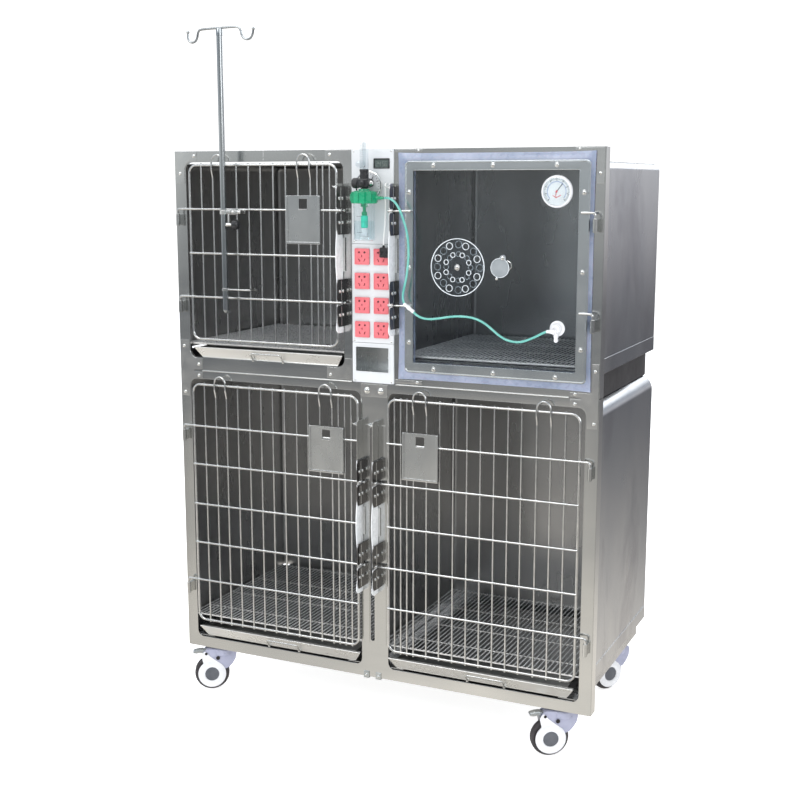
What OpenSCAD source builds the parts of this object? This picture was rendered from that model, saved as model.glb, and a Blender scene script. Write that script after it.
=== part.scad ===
// Modular kennel cage: two wire-door cages below, one wire-door cage and one sealed
// oxygen chamber above, with a service panel between them, on four casters.
// Cabinet coordinates: x from the left edge, y back from the front frame's face,
// z up from the front frame's bottom edge. Row frame: floor at z = 0, box centred in x and y.

/* [Cabinet] */
// Width across the front frame
cab_w = 1220; // [1220:5:1260]
// Height of the front frame, bottom edge to top edge
cab_h = 1425; // [1415:1:1435]
// Depth of the cage shells behind the frame's face
shell_d = 555; // [540:5:600]
// Height of the joint between the lower and the upper module
joint_h = 819; // [817:1:820]
// Thickness of the shells' steel sheet
wall = 1.5; // [1:0.1:2]
// Thickness of the front frame's sheet
frame_t = 2; // [1.5:0.1:2.5]
// How far the plinth under each module steps in from its sides
plinth_in = 25; // [20:1:30]

/* [Service panel] */
// Left edge of the white panel
panel_x0 = 549; // [545:1:552]
// Right edge of the white panel
panel_x1 = 668; // [665:1:672]
// Width and height of one socket module
socket_w = 42; // [38:1:44]
// Pitch of the socket rows
socket_pitch = 63.3; // [60:0.1:66]

/* [Wire doors] */
// Diameter of the thin upright wires
wire_d = 5; // [4:0.5:6]
// Diameter of the wire that frames a door
rim_d = 8; // [7:0.5:9]
// Diameter of the cross rods that carry the hinges and the latch ends
rod_d = 7; // [6:0.5:8]
// Pitch of the upright wires
wire_pitch = 37.3; // [36:0.1:38]
// Pitch of the close upright wires by the latch
close_pitch = 19.3; // [18:0.1:20]
// Distance of a hinge axis from the cabinet's side
hinge_in = 15; // [14:1:17]

/* [Latches] */
// Depth of a latch bar in front of the frame
latch_depth = 43; // [42:1:46]
// Travel of a latch bar, raised to locked
latch_travel = 16; // [12:1:16]

/* [Oxygen chamber door] */
// Outer width of the stainless door ring
ring_w = 482; // [478:1:486]
// Outer height of the stainless door ring
ring_h = 535; // [530:1:540]
// Width of the ring's sides
ring_side = 25; // [23:1:27]

/* [Trays] */
// Depth of a tray pan
tray_d = 520; // [450:10:530]
// Height of a tray pan
tray_h = 28; // [24:1:30]

/* [Casters] */
// Diameter of a caster wheel
wheel_d = 100; // [96:1:100]
// Height of a caster, floor to frame
base_h = 130; // [128:1:134]
// Trail of the wheel behind the swivel axis
trail = 35; // [32:1:38]

/* [Hidden] */
// The humidifier stands furthest forward and the shells' backs furthest back.
cap_y = -45;
cap_r = 34;
face_y = -(shell_d + cap_y - cap_r) / 2;
seam = 0.1;
gap = 0.3;
fit = 0.05;
// Heights, in cabinet coordinates
lower_z0 = 90;
lower_z1 = 804;
upper_z0 = 878;
upper_z1 = 1391;
plinth_z = 30;
// Lower openings of the front frame, one left and one right of the centre column
post_w = 32;
column_x0 = 571;
column_x1 = 649;
low_open_z0 = 30;
low_open_z1 = 796;
// Upper left opening and chamber opening of the front frame
ul_x1 = 523;
ul_z0 = 856;
ul_z1 = 1396;
ur_x0 = 715;
ur_x1 = 1168;
ur_z0 = 872;
ur_z1 = 1380;
// Doors: depths of the wire plane, the rods and the chamber door's rods
wire_y = -10;
rod_y = -14.5;
ring_y = -22;
ur_rod_y = -25.5;
pin_r = 3;
pin_drop = 46;
sleeve_r = 5.5;
sleeve_len = 33;
ul_rods = [1269, 1029];
low_hinge_rods = [663, 210];
low_latch_rods = [552, 322];
// Latches: x of each bar and of its catch plate
latch_t = 2;
bar_ul_x = 520;
bar_ur_x = 671;
bar_ll_x = 574;
bar_lr_x = 620;
catch_step = 3.5;
catch_half = 60;
// Trays and grids
tray_ul_z = 857;
tray_low_z = 37;
grid_t = 4;
// Chamber door
ring_x0 = 708;
ring_z0 = 858;
pane_y = -16;
pane_t = 5;
vent_c = [852, 1131];
vent_r = 72;
port_c = [965, 1133];
gauge_c = [1109, 1319];
oxy_c = [1115, 990];
// Flowmeter, panel parts and lead
cap_x = 606;
lead_r = 1.8;
hose_r = 3;
lead_pts = [[649, -3, 1338], [649, -7, 1338], [649, -11, 1335], [650, -13, 1328],
    [650, -13, 1310], [650, -13, 1280], [649, -13, 1250], [648, -14, 1225], [647, -16, 1207],
    [647, -18, 1192], [647, -18, 1182.5]];
hose_pts = [[662, -45, 1302], [666, -45, 1302], [672, -49, 1302], [680, -52, 1301], [689, -54, 1297],
    [697, -55, 1291], [706, -56, 1280], [714, -56, 1265], [721, -55, 1245], [727, -52, 1222],
    [730, -49, 1195], [730, -46, 1165], [727, -43, 1135], [722, -41, 1105], [716, -40, 1080],
    [712, -40, 1060], [713, -41, 1045], [719, -42, 1034]];
tail_pts = [[739, -41, 1019], [750, -39, 1009], [765, -37, 1002], [785, -35, 1000],
    [810, -33, 1003], [840, -31, 1008], [870, -30, 1010], [900, -29, 1007], [925, -29, 998],
    [945, -29, 985], [965, -30, 970], [985, -31, 959], [1005, -32, 954], [1025, -33, 954],
    [1045, -34, 960], [1065, -35, 969], [1082, -36, 978], [1095, -37, 984]];
// Intravenous pole
pole_x = 184;
pole_y = -46;
pole_r = 8;
pole_z0 = 990;
pole_z1 = 1740;
// Casters
swings = [32, 32, 54, 54];
front_in_left = 98;
front_in_right = 84;
rear_in = 77;
front_y = 33;
rear_y = shell_d - 25;
axle_r = 4;
stem_r = 5;
wheel_w = 24;
caster_spots = [[front_in_left, front_y], [cab_w - front_in_right, front_y],
    [rear_in, rear_y], [cab_w - rear_in, rear_y]];

module cabinet() {
    translate([-cab_w / 2, face_y, base_h])
        children();
}

// Box from its lowest corner to its highest corner
module slab(a, b) {
    translate(a)
        cube([b[0] - a[0], b[1] - a[1], b[2] - a[2]]);
}

// Round bar along x, y or z
module bar_x(x0, x1, y, z, r) {
    translate([x0, y, z])
        rotate([0, 90, 0])
            cylinder(r = r, h = x1 - x0, $fn = 32);
}

module bar_y(x, y0, y1, z, r) {
    translate([x, y0, z])
        rotate([-90, 0, 0])
            cylinder(r = r, h = y1 - y0, $fn = 32);
}

module bar_z(x, y, z0, z1, r) {
    translate([x, y, z0])
        cylinder(r = r, h = z1 - z0, $fn = 32);
}

// Tube swept along a list of points, as one closed mesh
function unit(v) = v / norm(v);
function tangent(p, i) = unit(p[min(i + 1, len(p) - 1)] - p[max(i - 1, 0)]);
function ring_side_dir(t) = unit(cross(t, abs(t[1]) < 0.9 ? [0, 1, 0] : [1, 0, 0]));
function ring_pts(c, t, r, n) = [for (k = [0 : n - 1])
    let (u = ring_side_dir(t), v = cross(t, u), a = 360 * k / n)
    c + r * (cos(a) * u + sin(a) * v)];
module tube(pts, r, n = 8) {
    m = len(pts);
    verts = [for (i = [0 : m - 1]) each ring_pts(pts[i], tangent(pts, i), r, n)];
    sides = [for (i = [0 : m - 2], k = [0 : n - 1])
        [i * n + k, (i + 1) * n + k, (i + 1) * n + (k + 1) % n, i * n + (k + 1) % n]];
    first = [for (k = [0 : n - 1]) k];
    last = [for (k = [n - 1 : -1 : 0]) (m - 1) * n + k];
    polyhedron(points = verts, faces = concat(sides, [first, last]), convexity = 6);
}

// One cage shell: sides, back and top, open to the front and to the tray below
module shell(x0, x1, z0, z1) {
    slab([x0, frame_t, z0], [x0 + wall, shell_d, z1]);
    slab([x1 - wall, frame_t, z0], [x1, shell_d, z1]);
    slab([x0 + wall + seam, shell_d - wall, z0], [x1 - wall - seam, shell_d, z1]);
    slab([x0 + wall + seam, frame_t, z1 - wall], [x1 - wall - seam, shell_d - wall - seam, z1]);
}

module shell_upper_left() {
    color("gainsboro") cabinet() shell(0, panel_x0, upper_z0, upper_z1);
}

module shell_upper_right() {
    color("gainsboro") cabinet() shell(panel_x1, cab_w, upper_z0, upper_z1);
}

module shell_lower_left() {
    color("lightgray") cabinet() shell(0, cab_w / 2 - seam, lower_z0, lower_z1);
}

module shell_lower_right() {
    color("lightgray") cabinet() shell(cab_w / 2 + seam, cab_w, lower_z0, lower_z1);
}

// Sheet covers over the space behind the service panel
module panel_housing() {
    x0 = panel_x0 + seam;
    x1 = panel_x1 - seam;
    color("silver") cabinet() {
        slab([x0, frame_t, upper_z1 - wall], [x1, shell_d - wall - seam, upper_z1]);
        slab([x0, shell_d - wall, upper_z0], [x1, shell_d, upper_z1]);
    }
}

// Side walls, back, floor and tray runners of a stepped-in plinth
module plinth(z0, z1, runner_z, runners) {
    x0 = plinth_in;
    x1 = cab_w - plinth_in;
    slab([x0, frame_t, z0], [x0 + wall, shell_d, z1]);
    slab([x1 - wall, frame_t, z0], [x1, shell_d, z1]);
    slab([x0 + wall + seam, shell_d - wall, z0], [x1 - wall - seam, shell_d, z1]);
    slab([x0 + wall + seam, frame_t, z0], [x1 - wall - seam, shell_d - wall - seam, z0 + wall]);
    for (r = runners)
        slab([r[0], frame_t + 1, runner_z - 2.5], [r[1], tray_d + 10, runner_z - 0.5]);
}

module plinth_upper() {
    color("dimgray") cabinet()
        plinth(lower_z1, upper_z0, tray_ul_z, [[28, 90], [480, 540]]);
}

module plinth_lower() {
    color("silver") cabinet()
        plinth(plinth_z, lower_z0, tray_low_z,
            [[28, 88], [526, 600], [620, 694], [cab_w - 88, cab_w - 28]]);
}

// Two cross rails with a mounting plate and a swivel socket over each caster
module base_rails() {
    color("gray") cabinet() {
        for (y = [front_y, rear_y])
            slab([45, y - 20, 3], [cab_w - 45, y + 20, plinth_z - 0.1]);
        for (s = caster_spots)
            difference() {
                slab([s[0] - 25, s[1] - 22, 0], [s[0] + 25, s[1] + 22, 3]);
                bar_z(s[0], s[1], -1, 4, stem_r + fit);
            }
    }
}

// Hinge sleeve with its welding tab, under a rod at height z
module sleeve(x, y, z, r = sleeve_r) {
    top = z - 13;
    difference() {
        union() {
            bar_z(x, y, top - sleeve_len, top, r);
            slab([x - 4, y + 1, top - sleeve_len + 2], [x + 4, -seam, top - 2]);
        }
        bar_z(x, y, top - sleeve_len - 1, top + 1, pin_r + fit);
    }
}

module front_frame_upper() {
    z0 = joint_h + 1;
    t = frame_t;
    color("lightsteelblue") cabinet() {
        slab([0, 0, z0], [34, t, cab_h]);
        slab([34 + seam, 0, ul_z1], [cab_w - 52 - seam, t, cab_h]);
        slab([34 + seam, 0, z0], [pocket_x0 - seam, t, ul_z0]);
        slab([pocket_x0, 0, z0], [pocket_x1, t, pocket_z0 - seam]);
        slab([pocket_x1 + seam, 0, z0], [cab_w - 52 - seam, t, ul_z0]);
        slab([ul_x1, 0, ul_z0 + seam], [panel_x0 + 8, t, ul_z1 - seam]);
        slab([panel_x1 - 8, 0, ul_z0 + seam], [ur_x0, t, ul_z1 - seam]);
        slab([ur_x0 + seam, 0, ul_z0 + seam], [ur_x1 - seam, t, ur_z0]);
        slab([ur_x0 + seam, 0, ur_z1], [ur_x1 - seam, t, ul_z1 - seam]);
        slab([ur_x1, 0, z0], [cab_w, t, cab_h]);
        for (z = ul_rods) {
            sleeve(hinge_in, rod_y, z);
            sleeve(cab_w - hinge_in, ur_rod_y, z);
        }
    }
}

module front_frame_lower() {
    z1 = joint_h - 1;
    t = frame_t;
    color("lightsteelblue") cabinet() {
        slab([0, 0, 0], [post_w, t, z1]);
        slab([cab_w - post_w, 0, 0], [cab_w, t, z1]);
        slab([post_w + seam, 0, 0], [cab_w - post_w - seam, t, low_open_z0]);
        slab([post_w + seam, 0, low_open_z1], [cab_w - post_w - seam, t, z1]);
        slab([column_x0, 0, low_open_z0 + seam], [column_x1, t, low_open_z1 - seam]);
        for (z = low_hinge_rods) {
            sleeve(hinge_in, rod_y, z);
            sleeve(cab_w - hinge_in, rod_y, z);
        }
    }
}

// Corner stiffener: a plate with two long legs and a chamfered inner corner
module corner_plate(w, h) {
    translate([0, -1.5, 0])
        rotate([90, 0, 0])
            mirror([0, 0, 1])
                linear_extrude(1.4)
                    polygon([[0, 0], [w, 0], [w, 20], [38, 20], [25, 34], [25, h], [0, h]]);
}

module corner_plates() {
    color("darkgray") cabinet() {
        translate([2, 0, joint_h + 3]) corner_plate(70, 85);
        slab([cab_w - 17, -1.5, joint_h + 3], [cab_w - 2, -0.1, joint_h + 88]);
        translate([2, 0, cab_h - 2]) mirror([0, 0, 1]) corner_plate(70, 85);
        translate([2, 0, joint_h - 3]) mirror([0, 0, 1]) corner_plate(70, 70);
        translate([cab_w - 2, 0, joint_h - 3])
            mirror([1, 0, 0]) mirror([0, 0, 1]) corner_plate(70, 70);
        slab([column_x0 - 32, -1.5, 800], [column_x0 - 4, -0.1, 815]);
        slab([column_x1 + 4, -1.5, 800], [column_x1 + 32, -0.1, 815]);
    }
}

// Dome-headed fasteners of the frames
module dome(x, y, z, r) {
    translate([x, y, z])
        rotate([90, 0, 0])
            cylinder(r1 = r, r2 = r * 0.55, h = r * 0.6, $fn = 24);
}

module frame_rivets() {
    edge = 14;
    low = 796;
    on_plates = [[edge, 1360], [edge, 895], [edge, low], [edge, 753], [60, 832], [60, 1413], [60, 805],
        [cab_w - 60, 805], [cab_w - edge, low], [cab_w - edge, 753], [cab_w - 10, 895]];
    color("whitesmoke") cabinet() {
        for (p = on_plates)
            dome(p[0], -1.5, p[1], 5);
        for (x = [column_x0 + 18, column_x1 - 18])
            dome(x, 0, 806, 8);
        for (x = [column_x0 + 12, column_x1 - 12])
            dome(x, 0, 14, 5);
        for (x = [480, 740, cab_w - 70])
            dome(x, 0, 1419, 3.5);
        dome(480, 0, 834, 5);
    }
}

// Plate that stands off the frame with a slot for the rod's end, open to the front
module catch_plate(x, z, y_rod) {
    y0 = -latch_depth + 1;
    difference() {
        translate([x, 0, 0])
            rotate([90, 0, 90])
                linear_extrude(latch_t)
                    polygon([[0, z - catch_half], [y0 + 8, z - catch_half], [y0, z - catch_half + 14],
                        [y0, z + catch_half - 14], [y0 + 8, z + catch_half], [0, z + catch_half]]);
        slab([x - 1, y0 - 1, z - rod_d / 2 - 1.5], [x + latch_t + 1, y_rod + rod_d / 2 + 1, z + rod_d / 2 + 1.5]);
    }
    for (s = [-30, 30])
        bar_x(x + latch_t, x + latch_t + 3, -22, z + s, 4);
}

module catch_plates() {
    color("dimgray") cabinet() {
        for (z = ul_rods) {
            catch_plate(bar_ul_x + catch_step, z, rod_y);
            catch_plate(bar_ur_x + catch_step, z, ur_rod_y);
        }
        for (z = low_latch_rods) {
            catch_plate(bar_ll_x + catch_step, z, rod_y);
            catch_plate(bar_lr_x + catch_step, z, rod_y);
        }
    }
}

// Sliding latch bar: at each rod a mouth open to the front and a slot running up from it,
// so the raised bar lets the rod out and the lowered bar holds it
module latch_bar(x, z0, z1, rods, y_rod) {
    y0 = -latch_depth;
    half = rod_d / 2 + 1.5;
    tab_z = z1 - 12;
    difference() {
        translate([x, 0, 0])
            rotate([90, 0, 90])
                linear_extrude(latch_t)
                    polygon([[-2, z0], [y0 + 4, z0], [y0, z0 + 12], [y0, rods[1] + 22],
                        [y0 + 6, rods[1] + 60], [y0 + 6, rods[0] - 60], [y0, rods[0] - 22],
                        [y0, z1 - 12], [y0 + 8, z1], [-2, z1]]);
        for (z = rods) {
            slab([x - 1, y0 - 1, z - half], [x + latch_t + 1, y_rod + half, z + half]);
            slab([x - 1, y_rod - half, z - half], [x + latch_t + 1, y_rod + half, z + half + latch_travel]);
        }
    }
    slab([x - 14, y0 + 10, tab_z], [x + 0.2, y0 + 30, tab_z + latch_t]);
}

module latch_bar_ul() {
    color("whitesmoke") cabinet() latch_bar(bar_ul_x, 950, 1338, ul_rods, rod_y);
}

module latch_bar_ur() {
    color("whitesmoke") cabinet() latch_bar(bar_ur_x, 950, 1338, ul_rods, ur_rod_y);
}

module latch_bar_ll() {
    color("whitesmoke") cabinet() latch_bar(bar_ll_x, 245, 720, low_latch_rods, rod_y);
}

module latch_bar_lr() {
    color("whitesmoke") cabinet() latch_bar(bar_lr_x, 245, 720, low_latch_rods, rod_y);
}

// Floor grid, cut as one slotted sheet: fine bars front to back and cross bars
module grid(x0, x1, z) {
    pitch = 25;
    d = shell_d - 40;
    rows = 4;
    w = x1 - x0;
    n = floor((w - 12) / pitch);
    edge = (w - n * pitch) / 2;
    translate([x0, 16, z])
        linear_extrude(grid_t)
            difference() {
                square([w, d]);
                for (i = [0 : n - 1], j = [0 : rows - 1])
                    translate([edge + i * pitch + 2, 6 + j * (d - 6) / rows])
                        square([pitch - 4, (d - 6) / rows - 6]);
            }
}

module floor_grids() {
    upper_grid = 892;
    lower_grid = 92;
    color("slategray") cabinet() {
        grid(8, panel_x0 - 8, upper_grid);
        grid(panel_x1 + 8, cab_w - 8, upper_grid);
        grid(8, cab_w / 2 - 8, lower_grid);
        grid(cab_w / 2 + 8, cab_w - 8, lower_grid);
    }
}

// White front panel in three parts: gauges on top, sockets, then the pocket's surround
pocket_x0 = 558;
pocket_x1 = 654;
pocket_z0 = 849;
pocket_z1 = 915;
panel_t = 3;
socket_cols = [558, 613];
socket_top = 1172;
module control_panel() {
    z = [joint_h + 1, 926, 1184, cab_h];
    color("white") cabinet() {
        slab([panel_x0, -panel_t, z[2]], [panel_x1, 0, z[3]]);
        slab([panel_x0, -panel_t, z[1] + 0.5], [panel_x1, 0, z[2] - 0.8]);
        slab([panel_x0, -panel_t, z[0]], [panel_x1, 0, pocket_z0 - seam]);
        slab([panel_x0, -panel_t, pocket_z1 + seam], [panel_x1, 0, z[1] - 0.3]);
        slab([panel_x0, -panel_t, pocket_z0], [pocket_x0 - seam, 0, pocket_z1]);
        slab([pocket_x1 + seam, -panel_t, pocket_z0], [panel_x1, 0, pocket_z1]);
    }
}

// Five-hole mains socket modules, two columns of four
module socket_module() {
    depth = 5;
    difference() {
        translate([0, -depth, 0]) cube([socket_w, depth, socket_w]);
        for (x = [-8, 8])
            bar_y(socket_w / 2 + x, -depth - 1, -2, 32, 2.4);
        bar_y(socket_w / 2, -depth - 1, -2, 23, 1.8);
        for (x = [-7, 7])
            bar_y(socket_w / 2 + x, -depth - 1, -2, 12, 1.8);
    }
}

module socket_modules() {
    color("salmon") cabinet()
        for (x = socket_cols, i = [0 : 3])
            translate([x, -panel_t, socket_top - i * socket_pitch - socket_w])
                socket_module();
}

module panel_pocket() {
    depth = 70;
    color("silver") cabinet() {
        slab([pocket_x0, -panel_t, pocket_z0], [pocket_x1, depth, pocket_z0 + 1]);
        slab([pocket_x0, -panel_t, pocket_z1 - 1], [pocket_x1, depth, pocket_z1]);
        slab([pocket_x0, -panel_t, pocket_z0 + 1 + seam], [pocket_x0 + 1, depth, pocket_z1 - 1 - seam]);
        slab([pocket_x1 - 1, -panel_t, pocket_z0 + 1 + seam], [pocket_x1, depth, pocket_z1 - 1 - seam]);
        slab([pocket_x0 + 1 + seam, depth - 1, pocket_z0 + 1 + seam],
            [pocket_x1 - 1 - seam, depth, pocket_z1 - 1 - seam]);
    }
}

module panel_display() {
    color("darkslategray") cabinet()
        slab([612, -panel_t - 2, 1375], [658, -panel_t, 1402]);
}

// Flowmeter: round wall plate, valve body and the neck down to the humidifier
module flowmeter_body() {
    color("black") cabinet() {
        bar_y(600, -10.6, -panel_t, 1329, 37);
        difference() {
            union() {
                bar_y(cap_x, cap_y - 11, -10.6, 1339, 11);
                bar_x(592, 622, cap_y, 1339, 11);
                bar_z(cap_x, cap_y, 1318, 1364, 10);
            }
            bar_x(580, 604, cap_y, 1339, pin_r + fit);
        }
    }
}

module flow_knob() {
    color("dimgray") cabinet() {
        bar_x(574, 591.5, cap_y, 1339, 13);
        bar_x(590, 603.5, cap_y, 1339, pin_r);
    }
}

module flowmeter_tube() {
    color("lightcyan") cabinet() {
        bar_z(cap_x, cap_y, 1364, 1440, 11);
        translate([cap_x, cap_y, 1440])
            rotate_extrude($fn = 48)
                intersection() {
                    circle(r = 11, $fn = 48);
                    square([11, 11]);
                }
        bar_y(583, -38, -panel_t - seam, 1386, 8);
    }
}

// Humidifier: screwed cap with its outlet nozzle and dip tube, and the clear bottle
module humidifier_cap() {
    color("seagreen") cabinet() {
        bar_z(cap_x, cap_y, 1290, 1318, cap_r);
        bar_x(cap_x + cap_r - 4, 662, cap_y, 1302, hose_r);
        bar_z(cap_x, cap_y, 1224, 1290.5, 4);
        bar_z(cap_x, cap_y, 1226, 1258, 9);
    }
}

module humidifier_bottle() {
    r = 28;
    color("aliceblue") cabinet()
        difference() {
            bar_z(cap_x, cap_y, 1194, 1290, r);
            bar_z(cap_x, cap_y, 1198, 1291, r - 2);
        }
}

// Mains plug of the top right socket, and the thin lead to the panel above it
module plug_adapter() {
    color("black") cabinet() {
        slab([636, -22, 1150], [659, -8 - gap / 3, 1176]);
        bar_z(647, -18, 1176, 1182.5, 3.5);
    }
}

module sensor_lead() {
    color("whitesmoke") cabinet() tube(lead_pts, lead_r);
}

// Chamber door: ring with rod stubs, hinge pins, pane, gasket, screws
module door_rod(x0, x1, z) {
    h = rod_d / 2;
    slab([x0, ur_rod_y - h, z - h], [x1, ur_rod_y + h, z + h]);
}

module hinge_pin(x, y, z) {
    bar_z(x, y, z - pin_drop, z, pin_r);
}

module door_ring_ur() {
    x1 = ring_x0 + ring_w;
    z1 = ring_z0 + ring_h;
    y0 = ring_y;
    y1 = pane_y - seam;
    hx = cab_w - hinge_in;
    color("silver") cabinet() {
        slab([ring_x0, y0, ring_z0], [x1, y1, ring_z0 + ring_side]);
        slab([ring_x0, y0, z1 - ring_side], [x1, y1, z1]);
        for (z = [0 : 1])
            translate([z * (ring_w - ring_side), 0, 0])
                slab([ring_x0, y0, ring_z0 + ring_side + seam],
                    [ring_x0 + ring_side, y1, z1 - ring_side - seam]);
        for (z = ul_rods) {
            door_rod(664, ring_x0 + 18, z);
            door_rod(x1 - 18, hx + pin_r + 1, z);
            hinge_pin(hx, ur_rod_y, z);
        }
    }
}

module vent_holes(turn, y0, y1) {
    for (k = [0 : 7]) {
        rotate([0, turn + 45 * k, 0]) {
            bar_y(55, y0, y1, 0, 7);
            bar_y(33, y0, y1, 0, 5);
        }
    }
}

module door_pane_ur() {
    m = 8;
    y1 = pane_y + pane_t;
    color("lightblue") cabinet()
        difference() {
            slab([ring_x0 + m, pane_y, ring_z0 + m], [ring_x0 + ring_w - m, y1, ring_z0 + ring_h - m]);
            translate([vent_c[0], 0, vent_c[1]])
                vent_holes(0, pane_y - 1, y1 + 1);
            bar_y(vent_c[0], pane_y - 1, y1 + 1, vent_c[1], pin_r);
            bar_y(port_c[0], pane_y - 1, y1 + 1, port_c[1], 16);
            bar_y(oxy_c[0], pane_y - 1, y1 + 1, oxy_c[1], 6);
        }
}

module door_gasket_ur() {
    x0 = 682;
    x1 = 1198;
    z0 = 836;
    z1 = 1415;
    lip = 34;
    y0 = pane_y + pane_t + seam;
    y1 = -0.5;
    color("thistle") cabinet() {
        slab([x0, y0, z0], [x1, y1, z0 + lip]);
        slab([x0, y0, z1 - lip], [x1, y1, z1]);
        slab([x0, y0, z0 + lip + seam], [x0 + lip + 6, y1, z1 - lip - seam]);
        slab([x1 - lip - 6, y0, z0 + lip + seam], [x1, y1, z1 - lip - seam]);
    }
}

module door_screws_ur() {
    x1 = ring_x0 + ring_w;
    z1 = ring_z0 + ring_h;
    color("whitesmoke") cabinet() {
        for (f = [0.162, 0.5, 0.835], z = [ring_z0 + 12, z1 - 12])
            dome(ring_x0 + ring_w * f, ring_y, z, 4.5);
        for (f = [0.146, 0.503, 0.857], x = [ring_x0 + 12, x1 - 12])
            dome(x, ring_y, ring_z0 + ring_h * f, 4.5);
    }
}

// Round thermometer and hygrometer on the pane
module dial_gauge() {
    color("white") cabinet() {
        bar_y(gauge_c[0], pane_y - 12, pane_y, gauge_c[1], 39);
        bar_y(gauge_c[0], pane_y - 15, pane_y - 12, gauge_c[1], 35);
    }
}

module oxygen_port() {
    y = pane_y - 19;
    color("white") cabinet() {
        bar_y(oxy_c[0], pane_y - 14, pane_y, oxy_c[1], 19);
        bar_y(oxy_c[0], y - 8, pane_y - 13, oxy_c[1], 9);
        bar_z(oxy_c[0], pane_y - 8, oxy_c[1] - 36, oxy_c[1] - 12, 4.5);
        bar_x(1095, oxy_c[0], y - 2, 984, 3);
    }
}

module oxygen_hose() {
    color("paleturquoise") cabinet() {
        tube(hose_pts, hose_r);
        tube(tail_pts, hose_r);
    }
}

// White barbed coupling between the two lengths of hose
module hose_connector() {
    a = hose_pts[len(hose_pts) - 1];
    b = tail_pts[0];
    color("white") cabinet()
        tube([a, a + (b - a) * 0.3, a + (b - a) * 0.7, b], 5.5, 12);
}

// Turning ventilation disc, with the same holes as the pane, half a pitch on
module vent_disc() {
    y1 = pane_y - gap;
    color("lightcyan") cabinet() {
        translate([vent_c[0], 0, vent_c[1]])
            difference() {
                bar_y(0, y1 - 3, y1, 0, vent_r);
                vent_holes(22.5, y1 - 4, y1 + 1);
            }
        bar_y(vent_c[0], y1 - 0.5, pane_y + pane_t, vent_c[1], pin_r - fit);
        dome(vent_c[0], y1 - 3, vent_c[1], 6);
    }
}

// Swinging cover of the nebuliser hole
module port_cover() {
    y1 = pane_y - gap;
    color("lightcyan") cabinet() {
        bar_y(port_c[0], y1 - 3, y1, port_c[1], 24);
        bar_y(port_c[0] + 7, y1 - 3, y1, port_c[1] + 24, 7);
        dome(port_c[0] + 7, y1 - 3, port_c[1] + 24, 5);
    }
}

// Wire door: rim, upright wires, cross rods with hinge pins and latch ends, top loops
function wire_xs(x0, wide, n) = concat(
    [for (i = [1 : n]) x0 + i * wide],
    [for (i = [1 : 3]) x0 + n * wide + i * close_pitch]);
module wire_door(x0, x1, z0, z1, n, rows, hinges, ends, reach, loops) {
    y1 = wire_y + wire_d / 2;
    xs = wire_xs(x0, wire_pitch, n);
    translate([0, y1, 0])
        rotate([90, 0, 0])
            linear_extrude(wire_d) {
                difference() {
                    translate([x0 - rim_d / 2, z0 - rim_d / 2])
                        square([x1 - x0 + rim_d, z1 - z0 + rim_d]);
                    translate([x0 + rim_d / 2, z0 + rim_d / 2])
                        square([x1 - x0 - rim_d, z1 - z0 - rim_d]);
                }
                for (x = xs)
                    translate([x - wire_d / 2, z0])
                        square([wire_d, z1 - z0]);
            }
    for (z = rows) {
        h = rod_d / 2;
        hinged = len(search(z, hinges)) > 0;
        left = hinged ? hinge_in - pin_r - 1 : x0 - rim_d / 2;
        right = len(search(z, ends)) > 0 ? reach : x1 + rim_d / 2;
        slab([left, rod_y - h, z - h], [right, rod_y + h, z + h]);
        if (hinged)
            hinge_pin(hinge_in, rod_y, z);
    }
    for (i = loops)
        loop(xs[i], xs[i + 1], z1);
}

// Rim loop that overlaps the frame, so the door can't swing inwards
module loop(xa, xb, z) {
    w = 5;
    d = 4;
    y = wire_y - 5.5;
    slab([xa, y - d, z - 25], [xa + w, y + d - 1, z + 18]);
    slab([xb, y - d, z - 25], [xb + w, y + d - 1, z + 18]);
    slab([xa, y - d, z + 18], [xb + w, y + d - 1, z + 23]);
}

module wire_door_ul() {
    color("lightgray") cabinet()
        wire_door(54, 508, 911, 1387, 10, [1269, 1149, 1029], ul_rods, ul_rods, bar_ul_x + 14, [1, 8]);
}

low_rows = [663, 552, 436, 322, 210];
low_x1 = 564;
module lower_wire_door(reach) {
    wire_door(44, low_x1, 89, 780, 12, low_rows, low_hinge_rods, low_latch_rods, reach, [1, 10]);
}

module wire_door_ll() {
    color("lightgray") cabinet() lower_wire_door(bar_ll_x + 14);
}

module wire_door_lr() {
    color("lightgray") cabinet()
        translate([cab_w, 0, 0])
            mirror([1, 0, 0])
                lower_wire_door(cab_w - bar_lr_x + 8);
}

// Card holder: back sheet, folded sides and foot, and a finger hole
module card_holder(x, z, w = 102, h = 127) {
    y1 = rod_y - rod_d / 2 - gap;
    t = 1.2;
    translate([x, y1, z]) {
        difference() {
            slab([0, -t, 0], [w, 0, h]);
            slab([w / 2 - 12, -t - 1, h - 46], [w / 2 + 12, 1, h - 20]);
        }
        slab([w / 2 - 12, -6, h - 48], [w / 2 + 12, -t + 0.2, h - 46]);
        for (side = [0, w - 9])
            slab([side, -7, 0], [side + 9, -7 + t, h]);
        for (side = [0, w - t])
            slab([side, -7, 0], [side + t, 0, h]);
        slab([0, -7, 0], [w, 0, t]);
        slab([0, -7, 0], [w, -7 + t, 9]);
    }
}

module card_holder_ul() {
    color("silver") cabinet() card_holder(362, 1180);
}

module card_holder_ll() {
    color("silver") cabinet() card_holder(422, 568, 106);
}

module card_holder_lr() {
    color("silver") cabinet() card_holder(700, 571);
}

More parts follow.
